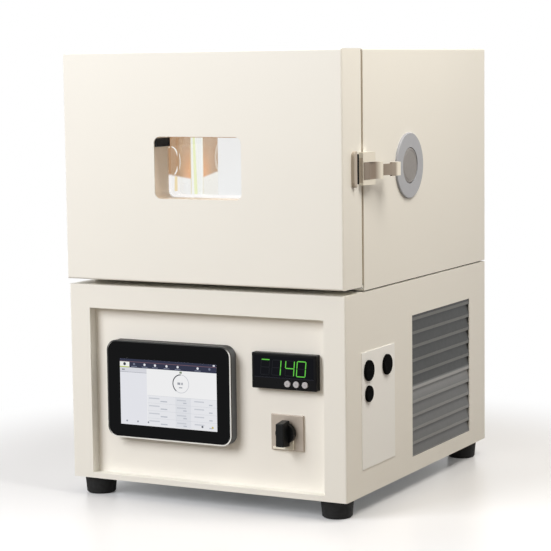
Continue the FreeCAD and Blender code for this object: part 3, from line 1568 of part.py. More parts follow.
def prism(label, plane, points, start, thick):
    """A solid with a straight-edged outline, raised by its thickness."""
    body = new_body(label)
    drawn = sketch_on(body, plane, start)
    draw_outline(drawn, points)
    pad(body, drawn, thick)
    return body


def check_and_write():
    """Check every object and every sub-part, then write one STEP file for each sub-part."""
    doc.recompute()
    for item in doc.Objects:
        if "Invalid" in item.State or "Error" in item.State:
            raise ValueError(f"{item.Name} did not compute: {item.State}")
    for label, (item, wanted) in PIECES.items():
        shape = item.Shape
        if shape.isNull() or not shape.isValid():
            raise ValueError(f"{label} has no valid shape")
        if len(shape.Solids) != wanted:
            raise ValueError(f"{label} has {len(shape.Solids)} solids, not {wanted}")
    os.makedirs("parts", exist_ok=True)
    for label, (item, wanted) in PIECES.items():
        item.Shape.exportStep(f"parts/{label}.step")
        print(f"{label:24s} {len(item.Shape.Solids)} solid(s) {item.Shape.Volume / 1000:10.1f} cm3")
    print(len(PIECES), "sub-parts")


base_housing()
base_floor()
front_panel()
touch_panel()
limiter()
main_switch()
connection_plate()
side_grille()
condenser()
compressor()
control_box()
rear_side()
upper_body()
air_system()
shelf()
entry_ports()
hinges()
door()
door_window()
latch()
check_and_write()
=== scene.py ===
import logging
import math
from dataclasses import dataclass
from enum import Enum
from typing import Iterable, Optional, Sequence

import bpy
import numpy as np
from bpy.types import Material, Node, NodeSocket, NodeTree, Object
from mathutils import Matrix, Vector


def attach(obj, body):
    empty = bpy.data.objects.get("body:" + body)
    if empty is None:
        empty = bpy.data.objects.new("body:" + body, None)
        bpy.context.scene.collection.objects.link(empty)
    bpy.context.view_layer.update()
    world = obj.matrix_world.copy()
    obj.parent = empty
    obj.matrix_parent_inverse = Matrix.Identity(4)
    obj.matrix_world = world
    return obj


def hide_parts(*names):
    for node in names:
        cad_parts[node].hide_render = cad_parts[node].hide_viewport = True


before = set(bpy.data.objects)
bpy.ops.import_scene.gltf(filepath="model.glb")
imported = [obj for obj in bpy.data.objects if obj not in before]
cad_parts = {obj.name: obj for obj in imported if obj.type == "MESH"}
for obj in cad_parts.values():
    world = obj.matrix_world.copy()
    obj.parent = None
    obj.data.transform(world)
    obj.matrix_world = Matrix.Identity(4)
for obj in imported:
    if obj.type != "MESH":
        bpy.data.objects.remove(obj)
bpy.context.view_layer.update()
LOG = logging.getLogger("chamber")
MM = 0.001
SMOOTH_ANGLE = math.radians(32.0)
FRONT_Y = -241.75
NO_FADE_MM = 1.0e6
Row = Sequence[float]


class Plane(Enum):
    """The flat plane that an outline is drawn in."""

    FRONT = "x and z"
    SIDE = "y and z"
    LEVEL = "x and y"


# Shapes


def rounded(low: Row, high: Row, radius: float, steps: int = 7) -> np.ndarray:
    """Outline of a rectangle with round corners.

    Each corner is a quarter circle, its centre plus radius times (cos t, sin t).

    Args:
        low: lower left corner in mm.
        high: upper right corner in mm.
        radius: corner radius in mm.
        steps: points on each corner.

    Returns:
        An array of 4 * steps points, anticlockwise.
    """
    r = max(radius, 0.02)
    turn = np.linspace(-math.pi / 2, 0.0, steps) + np.arange(4)[:, None] * math.pi / 2
    centres = np.array([
        [high[0] - r, low[1] + r], [high[0] - r, high[1] - r],
        [low[0] + r, high[1] - r], [low[0] + r, low[1] + r],
    ])
    arcs = centres[:, None, :] + r * np.stack([np.cos(turn), np.sin(turn)], axis=-1)
    return arcs.reshape(-1, 2)


def circle(centre: Row, radius: float, around: int = 48) -> np.ndarray:
    """Points of a circle, centre plus radius times (cos t, sin t), anticlockwise."""
    turn = np.linspace(0.0, 2 * math.pi, around, endpoint=False)
    return np.asarray(centre, float) + radius * np.stack([np.cos(turn), np.sin(turn)], axis=-1)


def stand(outline: np.ndarray, plane: Plane, at: float) -> np.ndarray:
    """Place a flat outline in space.

    Args:
        outline: points of two numbers each, in mm.
        plane: the plane that the outline is drawn in.
        at: where that plane is along the axis it is square to.

    Returns:
        The points with three numbers each.
    """
    rest = np.full(outline.shape[:-1], float(at))
    first, second = outline[..., 0], outline[..., 1]
    order = {
        Plane.FRONT: (first, rest, second),
        Plane.SIDE: (rest, first, second),
        Plane.LEVEL: (first, second, rest),
    }[plane]
    return np.stack(order, axis=-1)


def make_mesh(name: str, points: np.ndarray, faces: list) -> Object:
    """Put points and faces into an object at the origin, with its faces turned outwards.

    The signed volume is the sum of the fan triangles' triple products over six. Where it is
    negative, every face is turned round.

    Args:
        name: the piece's name.
        points: vertices in mm.
        faces: lists of vertex numbers.

    Returns:
        The new object.
    """
    mesh = bpy.data.meshes.new(name)
    mesh.from_pydata((points * MM).tolist(), [], faces)
    mesh.calc_loop_triangles()
    corners = np.zeros(len(mesh.loop_triangles) * 3, dtype=np.int32)
    mesh.loop_triangles.foreach_get("vertices", corners)
    a, b, c = points[corners.reshape(-1, 3)].transpose(1, 0, 2)
    if np.einsum("ij,ij->i", a, np.cross(b, c)).sum() < 0:
        mesh.flip_normals()
    mesh.polygons.foreach_set("use_smooth", np.ones(len(mesh.polygons), dtype=bool))
    mesh.set_sharp_from_angle(angle=SMOOTH_ANGLE)
    mesh.update()
    piece = bpy.data.objects.new(name, mesh)
    bpy.context.scene.collection.objects.link(piece)
    return piece


def loft(name: str, rings: Sequence[np.ndarray], loop: bool = False) -> Object:
    """Skin a row of closed outlines that have the same number of points.

    Point j of ring i is joined to point j + 1 of it and to the same two of ring i + 1.

    Args:
        name: the piece's name.
        rings: outlines in space, each an array of M points.
        loop: whether the last ring joins the first; otherwise both ends are closed by a face.

    Returns:
        The new object.
    """
    grid = np.stack(rings)
    count, across = grid.shape[:2]
    number = np.arange(count * across).reshape(count, across)
    start = number if loop else number[:-1]
    end = np.roll(number, -1, axis=0) if loop else number[1:]
    quads = np.stack([start, np.roll(start, -1, 1), np.roll(end, -1, 1), end], axis=-1)
    faces = quads.reshape(-1, 4).tolist()
    if not loop:
        faces += [number[0, ::-1].tolist(), number[-1].tolist()]
    return make_mesh(name, grid.reshape(-1, 3), faces)


def prisms(name: str, outlines: np.ndarray, plane: Plane, low, high) -> Object:
    """Extrude many outlines of the same number of points into one mesh.

    Args:
        name: the piece's name.
        outlines: N outlines of M points each, in mm.
        plane: the plane that they are drawn in.
        low: where each starts along the axis square to the plane, one number or N.
        high: where each ends.

    Returns:
        The new object.
    """
    flat = np.asarray(outlines, float)
    nxt = np.roll(flat, -1, axis=1)
    area = (flat[..., 0] * nxt[..., 1] - flat[..., 1] * nxt[..., 0]).sum(axis=1)
    flat = np.where((area < 0)[:, None, None], flat[:, ::-1], flat)
    n, m = flat.shape[:2]
    ends = np.stack([np.broadcast_to(low, n), np.broadcast_to(high, n)], axis=1)
    both = np.stack([stand(flat, plane, 0.0), stand(flat, plane, 0.0)], axis=1)
    axis = {Plane.FRONT: 1, Plane.SIDE: 0, Plane.LEVEL: 2}[plane]
    both[..., axis] = ends[:, :, None]
    number = np.arange(n * 2 * m).reshape(n, 2, m)
    sides = np.stack([
        number[:, 0], np.roll(number[:, 0], -1, 1), np.roll(number[:, 1], -1, 1), number[:, 1],
    ], axis=-1).reshape(-1, 4)
    faces = sides.tolist() + number[:, 0, ::-1].tolist() + number[:, 1].tolist()
    return make_mesh(name, both.reshape(-1, 3), faces)


def bars(rows: Sequence[Row]) -> np.ndarray:
    """Outlines of upright rectangles, from rows of left, low, right and high in mm."""
    edge = np.asarray(rows, float)
    return np.stack([edge[:, [0, 1]], edge[:, [2, 1]], edge[:, [2, 3]], edge[:, [0, 3]]], axis=1)


def lathe(name: str, axis: int, centre: Row, profile: Sequence[Row],
          around: int = 64, loop: bool = False) -> Object:
    """Turn a profile about an axis.

    Each profile point (r, d) gives the ring centre + r * (cos t, sin t), at d along the axis.

    Args:
        name: the piece's name.
        axis: 0, 1 or 2 for x, y or z.
        centre: the two other coordinates of the axis, in mm.
        profile: radius and distance along the axis, in mm.
        around: points round each ring.
        loop: whether the profile is closed.

    Returns:
        The new object.
    """
    plane = (Plane.SIDE, Plane.FRONT, Plane.LEVEL)[axis]
    rings = [stand(circle(centre, max(r, 0.01), around), plane, d) for r, d in profile]
    return loft(name, rings, loop)


def heads(name: str, axis: int, places: Sequence[Row], profile: Sequence[Row],
          around: int = 24) -> Object:
    """Turn the same profile about many parallel axes, into one mesh.

    Point k of ring j of head i is place i plus the ring's point r * (cos t, sin t), at d along
    the axis.

    Args:
        name: the piece's name.
        axis: 0, 1 or 2 for x, y or z.
        places: where each head sits, in mm.
        profile: radius and distance along the axis, in mm.
        around: points round each ring.

    Returns:
        The new object.
    """
    plane = (Plane.SIDE, Plane.FRONT, Plane.LEVEL)[axis]
    rings = np.stack([stand(circle((0.0, 0.0), max(r, 0.01), around), plane, d) for r, d in profile])
    grid = rings[None] + np.asarray(places, float)[:, None, None, :]
    number = np.arange(grid[..., 0].size).reshape(grid.shape[:3])
    start, end = number[:, :-1], number[:, 1:]
    quads = np.stack([start, np.roll(start, -1, 2), np.roll(end, -1, 2), end], axis=-1)
    faces = quads.reshape(-1, 4).tolist() + number[:, 0, ::-1].tolist() + number[:, -1].tolist()
    return make_mesh(name, grid.reshape(-1, 3), faces)


def rounding(piece: Object, width: float, segments: int = 3, angle: float = 40.0) -> None:
    """Round the sharp edges of a piece by a width in mm."""
    bevel = piece.modifiers.new("edge rounding", "BEVEL")
    bevel.width = width * MM
    bevel.segments = segments
    bevel.limit_method = "ANGLE"
    bevel.angle_limit = math.radians(angle)
    bevel.harden_normals = True


# Finishes


def linear(hex_colour: str) -> tuple[float, float, float, float]:
    """Turn an sRGB hex colour into linear numbers, with an alpha of 1."""
    part = np.array([int(hex_colour[k:k + 2], 16) for k in (1, 3, 5)]) / 255.0
    flat = np.where(part <= 0.04045, part / 12.92, ((part + 0.055) / 1.055) ** 2.4)
    return (float(flat[0]), float(flat[1]), float(flat[2]), 1.0)


def add_node(tree: NodeTree, kind: str, inputs: Optional[dict] = None, **settings) -> Node:
    """Add one node with its settings, values and links.

    Args:
        tree: the node tree.
        kind: the node's type name.
        inputs: for each input's name or number, a value or another node's output.
        settings: the node's own properties.

    Returns:
        The new node.
    """
    made = tree.nodes.new(kind)
    for key, value in settings.items():
        setattr(made, key, value)
    for key, value in (inputs or {}).items():
        if isinstance(value, NodeSocket):
            tree.links.new(value, made.inputs[key])
        else:
            made.inputs[key].default_value = value
    return made


def place_on(tree: NodeTree, axis: str) -> NodeSocket:
    """The X, Y or Z of a point in the piece's own place, in metres."""
    place = add_node(tree, "ShaderNodeTexCoord").outputs["Object"]
    return add_node(tree, "ShaderNodeSeparateXYZ", {0: place}).outputs[axis]


def rise(tree: NodeTree, value: NodeSocket, start: float, end: float, smooth: bool = False,
         to: tuple[float, float] = (0.0, 1.0)) -> NodeSocket:
    """Map a length onto a share.

    Args:
        tree: the node tree.
        value: the length.
        start: the length in mm that gives to[0].
        end: the length in mm that gives to[1].
        smooth: whether the way between them is eased.
        to: the two shares.

    Returns:
        The share.
    """
    return add_node(tree, "ShaderNodeMapRange", {
        "Value": value, "From Min": start * MM, "From Max": end * MM, "To Min": to[0],
        "To Max": to[1],
    }, interpolation_type="SMOOTHSTEP" if smooth else "LINEAR").outputs[0]


def product(tree: NodeTree, first: NodeSocket, second: NodeSocket | float) -> NodeSocket:
    """Multiply a share by another or by a number."""
    return add_node(tree, "ShaderNodeMath", {0: first, 1: second}, operation="MULTIPLY").outputs[0]


def blend(tree: NodeTree, share: NodeSocket, low, high) -> NodeSocket:
    """Mix two colours: low at a share of 0 and high at 1."""
    return add_node(tree, "ShaderNodeMix", {0: share, 6: low, 7: high}, data_type="RGBA").outputs[2]


def join_shaders(tree: NodeTree, share: NodeSocket, low: Node, high: Node) -> Node:
    """Mix two surfaces: low at a share of 0 and high at 1."""
    return add_node(tree, "ShaderNodeMixShader", {0: share, 1: low.outputs[0], 2: high.outputs[0]})


@dataclass(frozen=True)
class Finish:
    """A coloured surface with a fine grain, a faint unevenness of colour and of gloss."""

    name: str
    colour: str
    roughness: float = 0.5
    metallic: float = 0.0
    specular: float = 0.5
    coat: float = 0.0
    uneven: float = 0.03
    uneven_mm: float = 45.0
    grain_mm: float = 1.2
    grain_high_mm: float = 0.02
    stretch: tuple[float, float, float] = (1.0, 1.0, 1.0)

    def pattern(self, tree: NodeTree, size_mm: float, detail: float) -> NodeSocket:
        """Noise whose features are about size_mm wide, in the piece's own place."""
        place = add_node(tree, "ShaderNodeTexCoord").outputs["Object"]
        turned = add_node(tree, "ShaderNodeMapping", {"Vector": place, "Scale": self.stretch})
        return add_node(tree, "ShaderNodeTexNoise", {
            "Vector": turned.outputs[0], "Scale": 1.0 / (size_mm * MM), "Detail": detail,
        }).outputs["Fac"]

    def base_colour(self, tree: NodeTree) -> NodeSocket:
        """The colour, a little darker and lighter over the surface."""
        tone = np.array(linear(self.colour))
        darker = tuple(np.clip(tone * (1 - self.uneven), 0, 1)[:3]) + (1.0,)
        lighter = tuple(np.clip(tone * (1 + self.uneven), 0, 1)[:3]) + (1.0,)
        return blend(tree, self.pattern(tree, self.uneven_mm, 3.0), darker, lighter)

    def relief(self, tree: NodeTree) -> NodeSocket:
        """The grain as a bump."""
        return add_node(tree, "ShaderNodeBump", {
            "Height": self.pattern(tree, self.grain_mm, 2.0),
            "Distance": self.grain_high_mm * MM, "Strength": 1.0,
        }).outputs[0]

    def gloss(self, tree: NodeTree) -> NodeSocket:
        """The roughness, a little uneven over the surface."""
        return add_node(tree, "ShaderNodeMapRange", {
            "Value": self.pattern(tree, self.grain_mm * 6, 2.0), "From Min": 0.3, "From Max": 0.7,
            "To Min": self.roughness * 0.9, "To Max": min(self.roughness * 1.1, 1.0),
        }).outputs[0]

    def shader(self, tree: NodeTree) -> Node:
        """The surface itself."""
        return add_node(tree, "ShaderNodeBsdfPrincipled", {
            "Base Color": self.base_colour(tree), "Roughness": self.gloss(tree),
            "Metallic": self.metallic, "Specular IOR Level": self.specular,
            "Coat Weight": self.coat, "Coat Roughness": 0.05, "Normal": self.relief(tree),
        })

    def material(self) -> Material:
        """The Blender material, made once for each name."""
        made = bpy.data.materials.get(self.name)
        if made is None or not made.get("chamber_finish"):
            made = bpy.data.materials.new(self.name)
            made["chamber_finish"] = True
            made.use_nodes = True
            tree = made.node_tree
            tree.nodes.clear()
            surface = self.shader(tree)
            add_node(tree, "ShaderNodeOutputMaterial", {"Surface": surface.outputs[0]})
        return made


@dataclass(frozen=True)
class ClearGlass(Finish):
    """Float glass: clear, with a faint green body, smooth enough to mirror the lamps."""

    def shader(self, tree: NodeTree) -> Node:
        """Glass that lets light through and mirrors at a flat angle."""
        return add_node(tree, "ShaderNodeBsdfPrincipled", {
            "Base Color": linear(self.colour), "Roughness": self.gloss(tree),
            "Transmission Weight": 1.0, "IOR": 1.45,
        })


@dataclass(frozen=True)
class Lit(Finish):
    """A lit layer behind glass: it glows in its own colour and mirrors a little."""

    glow: float = 0.85

    def shader(self, tree: NodeTree) -> Node:
        """A dark glossy surface with its colour as light."""
        tone = self.base_colour(tree)
        return add_node(tree, "ShaderNodeBsdfPrincipled", {
            "Base Color": linear("#050507"), "Roughness": self.gloss(tree),
            "Specular IOR Level": 0.3, "Emission Color": tone, "Emission Strength": self.glow,
        })


@dataclass(frozen=True)
class Spangled(Finish):
    """Hot-dip zinc: crystals a centimetre wide, each with its own grey."""

    crystal_mm: float = 9.0

    def base_colour(self, tree: NodeTree) -> NodeSocket:
        """One grey for each crystal."""
        place = add_node(tree, "ShaderNodeTexCoord").outputs["Object"]
        crystal = add_node(tree, "ShaderNodeTexVoronoi", {
            "Vector": place, "Scale": 1.0 / (self.crystal_mm * MM),
        })
        grey = add_node(tree, "ShaderNodeSeparateColor", {0: crystal.outputs["Color"]})
        return blend(tree, grey.outputs[0], linear("#A9AEB0"), linear("#CDD1D2"))


@dataclass(frozen=True)
class PalerBelow(Finish):
    """A coloured surface that is paler below a height; on the louvre the paler part is a painted
    reflection of the pale floor.
    """

    low_colour: str = "#6E6E6B"
    split_mm: float = 147.0
    soft_mm: float = 2.0
    fade_mm: float = 28.0
    faded: float = 0.38

    def base_colour(self, tree: NodeTree) -> NodeSocket:
        """The upper colour, and below the split the lower one, which fades towards the upper."""
        height = place_on(tree, "Z")
        below = rise(tree, height, self.split_mm + self.soft_mm, self.split_mm - self.soft_mm)
        fading = rise(tree, height, self.split_mm, self.split_mm - self.fade_mm,
                      to=(1.0, self.faded))
        return blend(tree, product(tree, below, fading), super().base_colour(tree),
                     linear(self.low_colour))


@dataclass(frozen=True)
class LeverPaintedLight(Finish):
    """The latch lever's painted light: a painted highlight on its crest and grip, painted shade in
    the hollow between.
    """

    # Colour of the painted highlight; the finish's own colour is the painted shade.
    bright: str = "#FAF6EA"
    stops_mm: tuple[tuple[float, float], ...] = (
        (-183.0, 0.0), (-174.0, 0.0), (-165.5, 1.0), (-162.4, 1.0), (-162.2, 0.0), (-145.0, 0.1),
        (-135.0, 0.15), (-130.5, 1.0), (-121.0, 1.0),
    )

    def base_colour(self, tree: NodeTree) -> NodeSocket:
        """The painted shade and the painted highlight, mixed along the lever by a curve through the
        stops.
        """
        low, high = self.stops_mm[0][0], self.stops_mm[-1][0]
        share = rise(tree, place_on(tree, "Y"), low, high)
        ramp = add_node(tree, "ShaderNodeValToRGB", {"Fac": share})
        points = ramp.color_ramp.elements
        while len(points) < len(self.stops_mm):
            points.new(0.5)
        for point, (mm, grey) in zip(points, self.stops_mm):
            point.position = (mm - low) / (high - low)
            point.color = (grey, grey, grey, 1.0)
        return blend(tree, ramp.outputs["Color"], super().base_colour(tree), linear(self.bright))


@dataclass(frozen=True)
class LitWall(Finish):
    """A stainless wall of the test space with the light of its lamp painted in as a glow."""

    metal: str = "#6E665C"
    # Painted light: the white of the lit floor mirrored below the edge, and the warm glow by the
    # lamp strip.
    below: str = "#EEEEF0"
    ember: str = "#DF9C66"
    edge_at_mm: float = 432.0
    edge_mm: float = 4.0
    fall: float = 0.14
    warm_y: tuple[float, float] = (-12.0, 24.0)
    warm_z: tuple[float, float] = (490.0, 430.0)
    glow: float = 0.95

    def height(self, tree: NodeTree) -> NodeSocket:
        """1 above the edge of the painted bright zone and 0 below: it lies at edge_at_mm less fall
        times y.
        """
        tilted = add_node(tree, "ShaderNodeMath", {
            0: place_on(tree, "Y"), 1: self.fall, 2: place_on(tree, "Z"),
        }, operation="MULTIPLY_ADD")
        half = self.edge_mm / 2
        return rise(tree, tilted.outputs[0], self.edge_at_mm - half, self.edge_at_mm + half, True)

    def warmth(self, tree: NodeTree) -> NodeSocket:
        """The painted pool of warm light: 1 at the lower rear by the lamp strip, falling to 0
        forwards and upwards.
        """
        return product(tree, rise(tree, place_on(tree, "Y"), *self.warm_y, smooth=True),
                       rise(tree, place_on(tree, "Z"), *self.warm_z, smooth=True))

    def shader(self, tree: NodeTree) -> Node:
        """Brushed metal with painted light: it gives off, as a glow, the light it would mirror."""
        warm = blend(tree, self.warmth(tree), self.base_colour(tree), linear(self.ember))
        return add_node(tree, "ShaderNodeBsdfPrincipled", {
            "Base Color": linear(self.metal), "Metallic": self.metallic,
            "Roughness": self.gloss(tree),
            "Emission Color": blend(tree, self.height(tree), linear(self.below), warm),
            "Emission Strength": self.glow, "Normal": self.relief(tree),
        })


@dataclass(frozen=True)
class LitBack(LitWall):
    """The back wall of the test space: a mirror at its left end, and beyond it a plate that glows
    with painted light.
    """

    mirror_to_mm: float = -131.5
    soft_mm: float = 0.6

    def shader(self, tree: NodeTree) -> Node:
        """A mirror mixed by x with the plate's painted glow."""
        beyond = rise(tree, place_on(tree, "X"), self.mirror_to_mm - self.soft_mm,
                      self.mirror_to_mm + self.soft_mm)
        mirror = add_node(tree, "ShaderNodeBsdfPrincipled", {
            "Base Color": linear("#FFFDF8"), "Metallic": 1.0, "Roughness": 0.04,
            "Normal": self.relief(tree),
        })
        # Painted light: the plate glows white instead of being lit.
        plate = add_node(tree, "ShaderNodeBsdfPrincipled", {
            "Base Color": linear("#3C3C3C"), "Roughness": self.gloss(tree),
            "Emission Color": self.base_colour(tree), "Emission Strength": self.glow,
        })
        return join_shaders(tree, beyond, mirror, plate)


@dataclass(frozen=True)
class LitTunnel(LitWall):
    """The window tunnel: satin stainless before the outer pane, and behind it the painted light of
    the room as a glow.
    """

    shade: str = "#FDEEDA"
    pane_mm: float = -208.8
    soft_mm: float = 0.2

    def shader(self, tree: NodeTree) -> Node:
        """Plain metal in front of the pane mixed by y with the glowing painted light behind it."""
        behind = rise(tree, place_on(tree, "Y"), self.pane_mm - self.soft_mm,
                      self.pane_mm + self.soft_mm)
        outside = add_node(tree, "ShaderNodeBsdfPrincipled", {
            "Base Color": linear(self.shade), "Metallic": 0.2, "Roughness": self.gloss(tree),
            "Normal": self.relief(tree),
        })
        return join_shaders(tree, behind, outside, super().shader(tree))


@dataclass(frozen=True)
class TrimLine(Finish):
    """The bright line round the glass: anodised on its front face, dark on its side faces, and with
    painted shade on the front of its top and of its left end.
    """

    dark: str = "#242525"
    front_y: tuple[float, float] = (-242.2, -242.5)
    top_z: tuple[float, float] = (219.0, 214.0)
    left_x: tuple[float, float] = (-151.5, -146.0)

    def base_colour(self, tree: NodeTree) -> NodeSocket:
        """The bright colour where y is in front, z below the top and x right of the left side;
        elsewhere dark, as painted shade on the top and left end.
        """
        share = rise(tree, place_on(tree, "Y"), *self.front_y)
        for axis, (dim, bright) in (("Z", self.top_z), ("X", self.left_x)):
            share = product(tree, share, rise(tree, place_on(tree, axis), dim, bright))
        return blend(tree, share, linear(self.dark), super().base_colour(tree))


class Finishes:
    """Every finish of the chamber, named for the real material."""

    # Polyester powder coat, fine orange peel, warm white with a silky sheen.
    coat = Finish("powder_coat_white", "#F3F1E9", roughness=0.42, uneven=0.012, uneven_mm=120,
                  grain_mm=1.6, grain_high_mm=0.012)
    # The same coat on the set-back panel: a shade darker.
    panel = Finish("powder_coat_panel", "#F7F4EC", roughness=0.45, uneven=0.012, uneven_mm=90,
                   grain_mm=1.6, grain_high_mm=0.012)
    # The same coat on the small plate on the right side, slightly green beside the rest.
    plate = Finish("powder_coat_plate", "#FDFFFC", roughness=0.45, uneven=0.015, uneven_mm=60,
                   grain_mm=1.6, grain_high_mm=0.012)
    # Cold-rolled stainless sheet, bright annealed: fine rolling lines, nearly a mirror.
    stainless = Finish("stainless_bright", "#C9C4BA", roughness=0.2, metallic=1.0, uneven=0.03,
                       uneven_mm=30, grain_mm=0.8, grain_high_mm=0.002, stretch=(1.0, 1.0, 0.05))
    # Electropolished rod and wire.
    polished = Finish("steel_polished", "#C6C4C0", roughness=0.16, metallic=1.0, uneven=0.03,
                      uneven_mm=20, grain_mm=0.7, grain_high_mm=0.002)
    # Galvanised steel sheet inside the base.
    zinc = Spangled("zinc_spangled", "#BCC0C2", roughness=0.42, metallic=0.9, grain_mm=2.0,
                    grain_high_mm=0.004)
    # Glass-filled polycarbonate housing, spark-eroded grain.
    housing = PalerBelow("plastic_dark_grey", "#161717", roughness=0.5, uneven=0.05, uneven_mm=25,
                      grain_mm=0.5, grain_high_mm=0.01, low_colour="#606468", split_mm=218.0,
                      fade_mm=NO_FADE_MM)
    # Pale trim line moulded round the glass, with painted shade on its top and its left end.
    trim = TrimLine("anodised_trim_painted_shade", "#ECECE8", roughness=0.35, uneven=0.02, grain_mm=0.6,
                    grain_high_mm=0.004)
    # Back-printed cover glass: black, mirror smooth.
    glass = Finish("cover_glass_black", "#07080A", roughness=0.06, uneven=0.1, uneven_mm=80,
                   grain_mm=8.0, grain_high_mm=0.0005, specular=0.08)
    # The lit panel behind the glass.
    display = Lit("display_panel", "#F4F4F6", roughness=0.1, uneven=0.01, grain_mm=4.0)
    # Black ABS, matt mould grain.
    black = Finish("abs_black", "#0E0F10", roughness=0.4, uneven=0.08, uneven_mm=18,
                   grain_mm=0.5, grain_high_mm=0.008, specular=0.15)
    # The instrument's bezel: smoother black ABS.
    bezel = Finish("abs_black_bezel", "#0B0B0D", roughness=0.3, uneven=0.06, uneven_mm=18,
                   grain_mm=0.6, grain_high_mm=0.004, specular=0.1)
    # Smoked acrylic in front of the digits: near black with a blue cast.
    smoked = Finish("acrylic_smoked", "#080A12", roughness=0.09, uneven=0.08, uneven_mm=30,
                    grain_mm=6.0, grain_high_mm=0.0005, specular=0.08)
    # Lit digit segments and the unlit ones beside them.
    segment = Lit("segment_green", "#5FCB3E", roughness=0.3, uneven=0.04, uneven_mm=3,
                  grain_mm=2.0, glow=0.95)
    segment_off = Finish("segment_unlit", "#15171D", roughness=0.3, uneven=0.05, grain_mm=2.0,
                         grain_high_mm=0.001, specular=0.1)
    # Silicone keys: soft, matt, light grey.
    key = Finish("silicone_grey", "#BDBBBE", roughness=0.6, uneven=0.03, uneven_mm=4,
                 grain_mm=0.4, grain_high_mm=0.006)
    # Anodised aluminium plate, brushed upright, champagne grey.
    switch_plate = Finish("anodised_plate", "#B3A89C", roughness=0.4, metallic=0.35, uneven=0.04,
                          uneven_mm=1.5, grain_mm=0.6, grain_high_mm=0.003, stretch=(1, 1, 0.04))
    # Cream moulding: the switch's insert and index plate.
    pointer = Finish("plastic_cream", "#F4EFE0", roughness=0.4, uneven=0.02, grain_mm=0.5,
                     grain_high_mm=0.004)
    # Rubber caps of the connectors: matt and deep black.
    cap = Finish("rubber_cap", "#0B0B0B", roughness=0.8, uneven=0.08, uneven_mm=10,
                 grain_mm=0.6, grain_high_mm=0.01, specular=0.02)
    # EPDM feet: dull, dusty black.
    rubber = Finish("rubber_black", "#161616", roughness=0.75, uneven=0.15, uneven_mm=12,
                    grain_mm=0.8, grain_high_mm=0.02, specular=0.3)
    # Silicone door seal, grey and soft.
    seal = Finish("silicone_seal", "#C9BCAE", roughness=0.7, uneven=0.06, uneven_mm=10,
                  grain_mm=0.8, grain_high_mm=0.01)
    # Foam rubber between base and upper body.
    strip = Finish("rubber_strip", "#33322F", roughness=0.7, uneven=0.08, uneven_mm=15,
                   grain_mm=0.8, grain_high_mm=0.01)
    # Cut polyurethane foam: honey-coloured open cells.
    foam = Finish("foam_polyurethane", "#D9C79A", roughness=0.95, uneven=0.12, uneven_mm=3.0,
                  grain_mm=1.5, grain_high_mm=0.25, specular=0.2)
    # Aluminium fins: thin, bright, slightly oxidised.
    fins = Finish("aluminium_fins", "#B9BCBD", roughness=0.35, metallic=0.9, uneven=0.08,
                  uneven_mm=8, grain_mm=1.0, grain_high_mm=0.006)
    # Compressor shell: semi-gloss black paint on a drawn pot.
    pot = Finish("paint_black_gloss", "#17181A", roughness=0.28, uneven=0.08, uneven_mm=30,
                 grain_mm=1.5, grain_high_mm=0.012)
    # Cast motor housings: silver grey paint.
    motor = Finish("paint_motor_grey", "#8D9093", roughness=0.5, metallic=0.3, uneven=0.06,
                   uneven_mm=14, grain_mm=0.9, grain_high_mm=0.015)
    # Fan wheels: glass-filled nylon.
    wheel = Finish("nylon_fan", "#23262A", roughness=0.5, uneven=0.06, uneven_mm=12,
                   grain_mm=0.7, grain_high_mm=0.01)
    # Heated double glazing.
    pane = ClearGlass("float_glass", "#FCFDFC", roughness=0.01, grain_mm=40.0)
    # The chamber's walls with painted light, glowing as its own lamp would light them: warm above,
    # and below a sloping edge a white painted reflection of the lit floor; on the back wall a mirror
    # beside a glowing plate.
    room_wall = LitWall("stainless_lit_wall", "#AF8D70", roughness=0.25, metallic=1.0)
    room_back = LitBack("stainless_lit_back", "#F2F1F3", roughness=0.3, metallic=1.0, glow=0.94)
    # The window tunnel: satin stainless in shade before the outer pane, and behind it the walls'
    # painted light.
    reveal = LitTunnel("stainless_satin_reveal", "#AC8A6C", roughness=0.4, metallic=1.0,
                       edge_at_mm=416.4, fall=0.157)
    # Diffusers of the lamp strip, and a painted gleam of the light that it throws on the window
    # tunnel.
    strip_edge = Lit("diffuser_cream", "#F4E9CC", roughness=0.3, uneven=0.02, grain_mm=2.0)
    gleam = Lit("stainless_gleam", "#F0DCB0", roughness=0.3, uneven=0.03, grain_mm=2.0, glow=0.95)
    strip_warm = Lit("diffuser_yellow_green", "#EAF0BE", roughness=0.3, uneven=0.02, grain_mm=2.0,
                     glow=1.0)
    strip_white = Lit("diffuser_white", "#F6F6F4", roughness=0.3, uneven=0.01, grain_mm=2.0,
                      glow=1.0)
    # Cut lower edge of the limiter's window, and the print on its keys.
    window_edge = Finish("acrylic_edge", "#1C1E28", roughness=0.3, uneven=0.05, grain_mm=2.0,
                         grain_high_mm=0.001, specular=0.15)
    key_sign = Finish("silicone_print", "#A8A6AA", roughness=0.6, uneven=0.05, uneven_mm=2,
                      grain_mm=0.4, grain_high_mm=0.003)
    # Port ring and plug: turned from acetal, a cool and a warmer grey.
    ring = Finish("acetal_ring_grey", "#ADB0B7", roughness=0.45, uneven=0.03, uneven_mm=10,
                  grain_mm=0.7, grain_high_mm=0.005)
    plug = Finish("silicone_plug", "#959393", roughness=0.65, uneven=0.05, uneven_mm=9,
                  grain_mm=0.6, grain_high_mm=0.012)
    # Louvre: semi-gloss grey enamel on folded sheet, dark above as it would mirror a dark room;
    # below a height a painted reflection of the pale floor makes it paler.
    grille = PalerBelow("enamel_grille_grey_painted_reflection", "#2D2F2E", roughness=0.35, specular=0.22, uneven=0.03,
                     uneven_mm=40, grain_mm=1.2, grain_high_mm=0.006, low_colour="#919395")
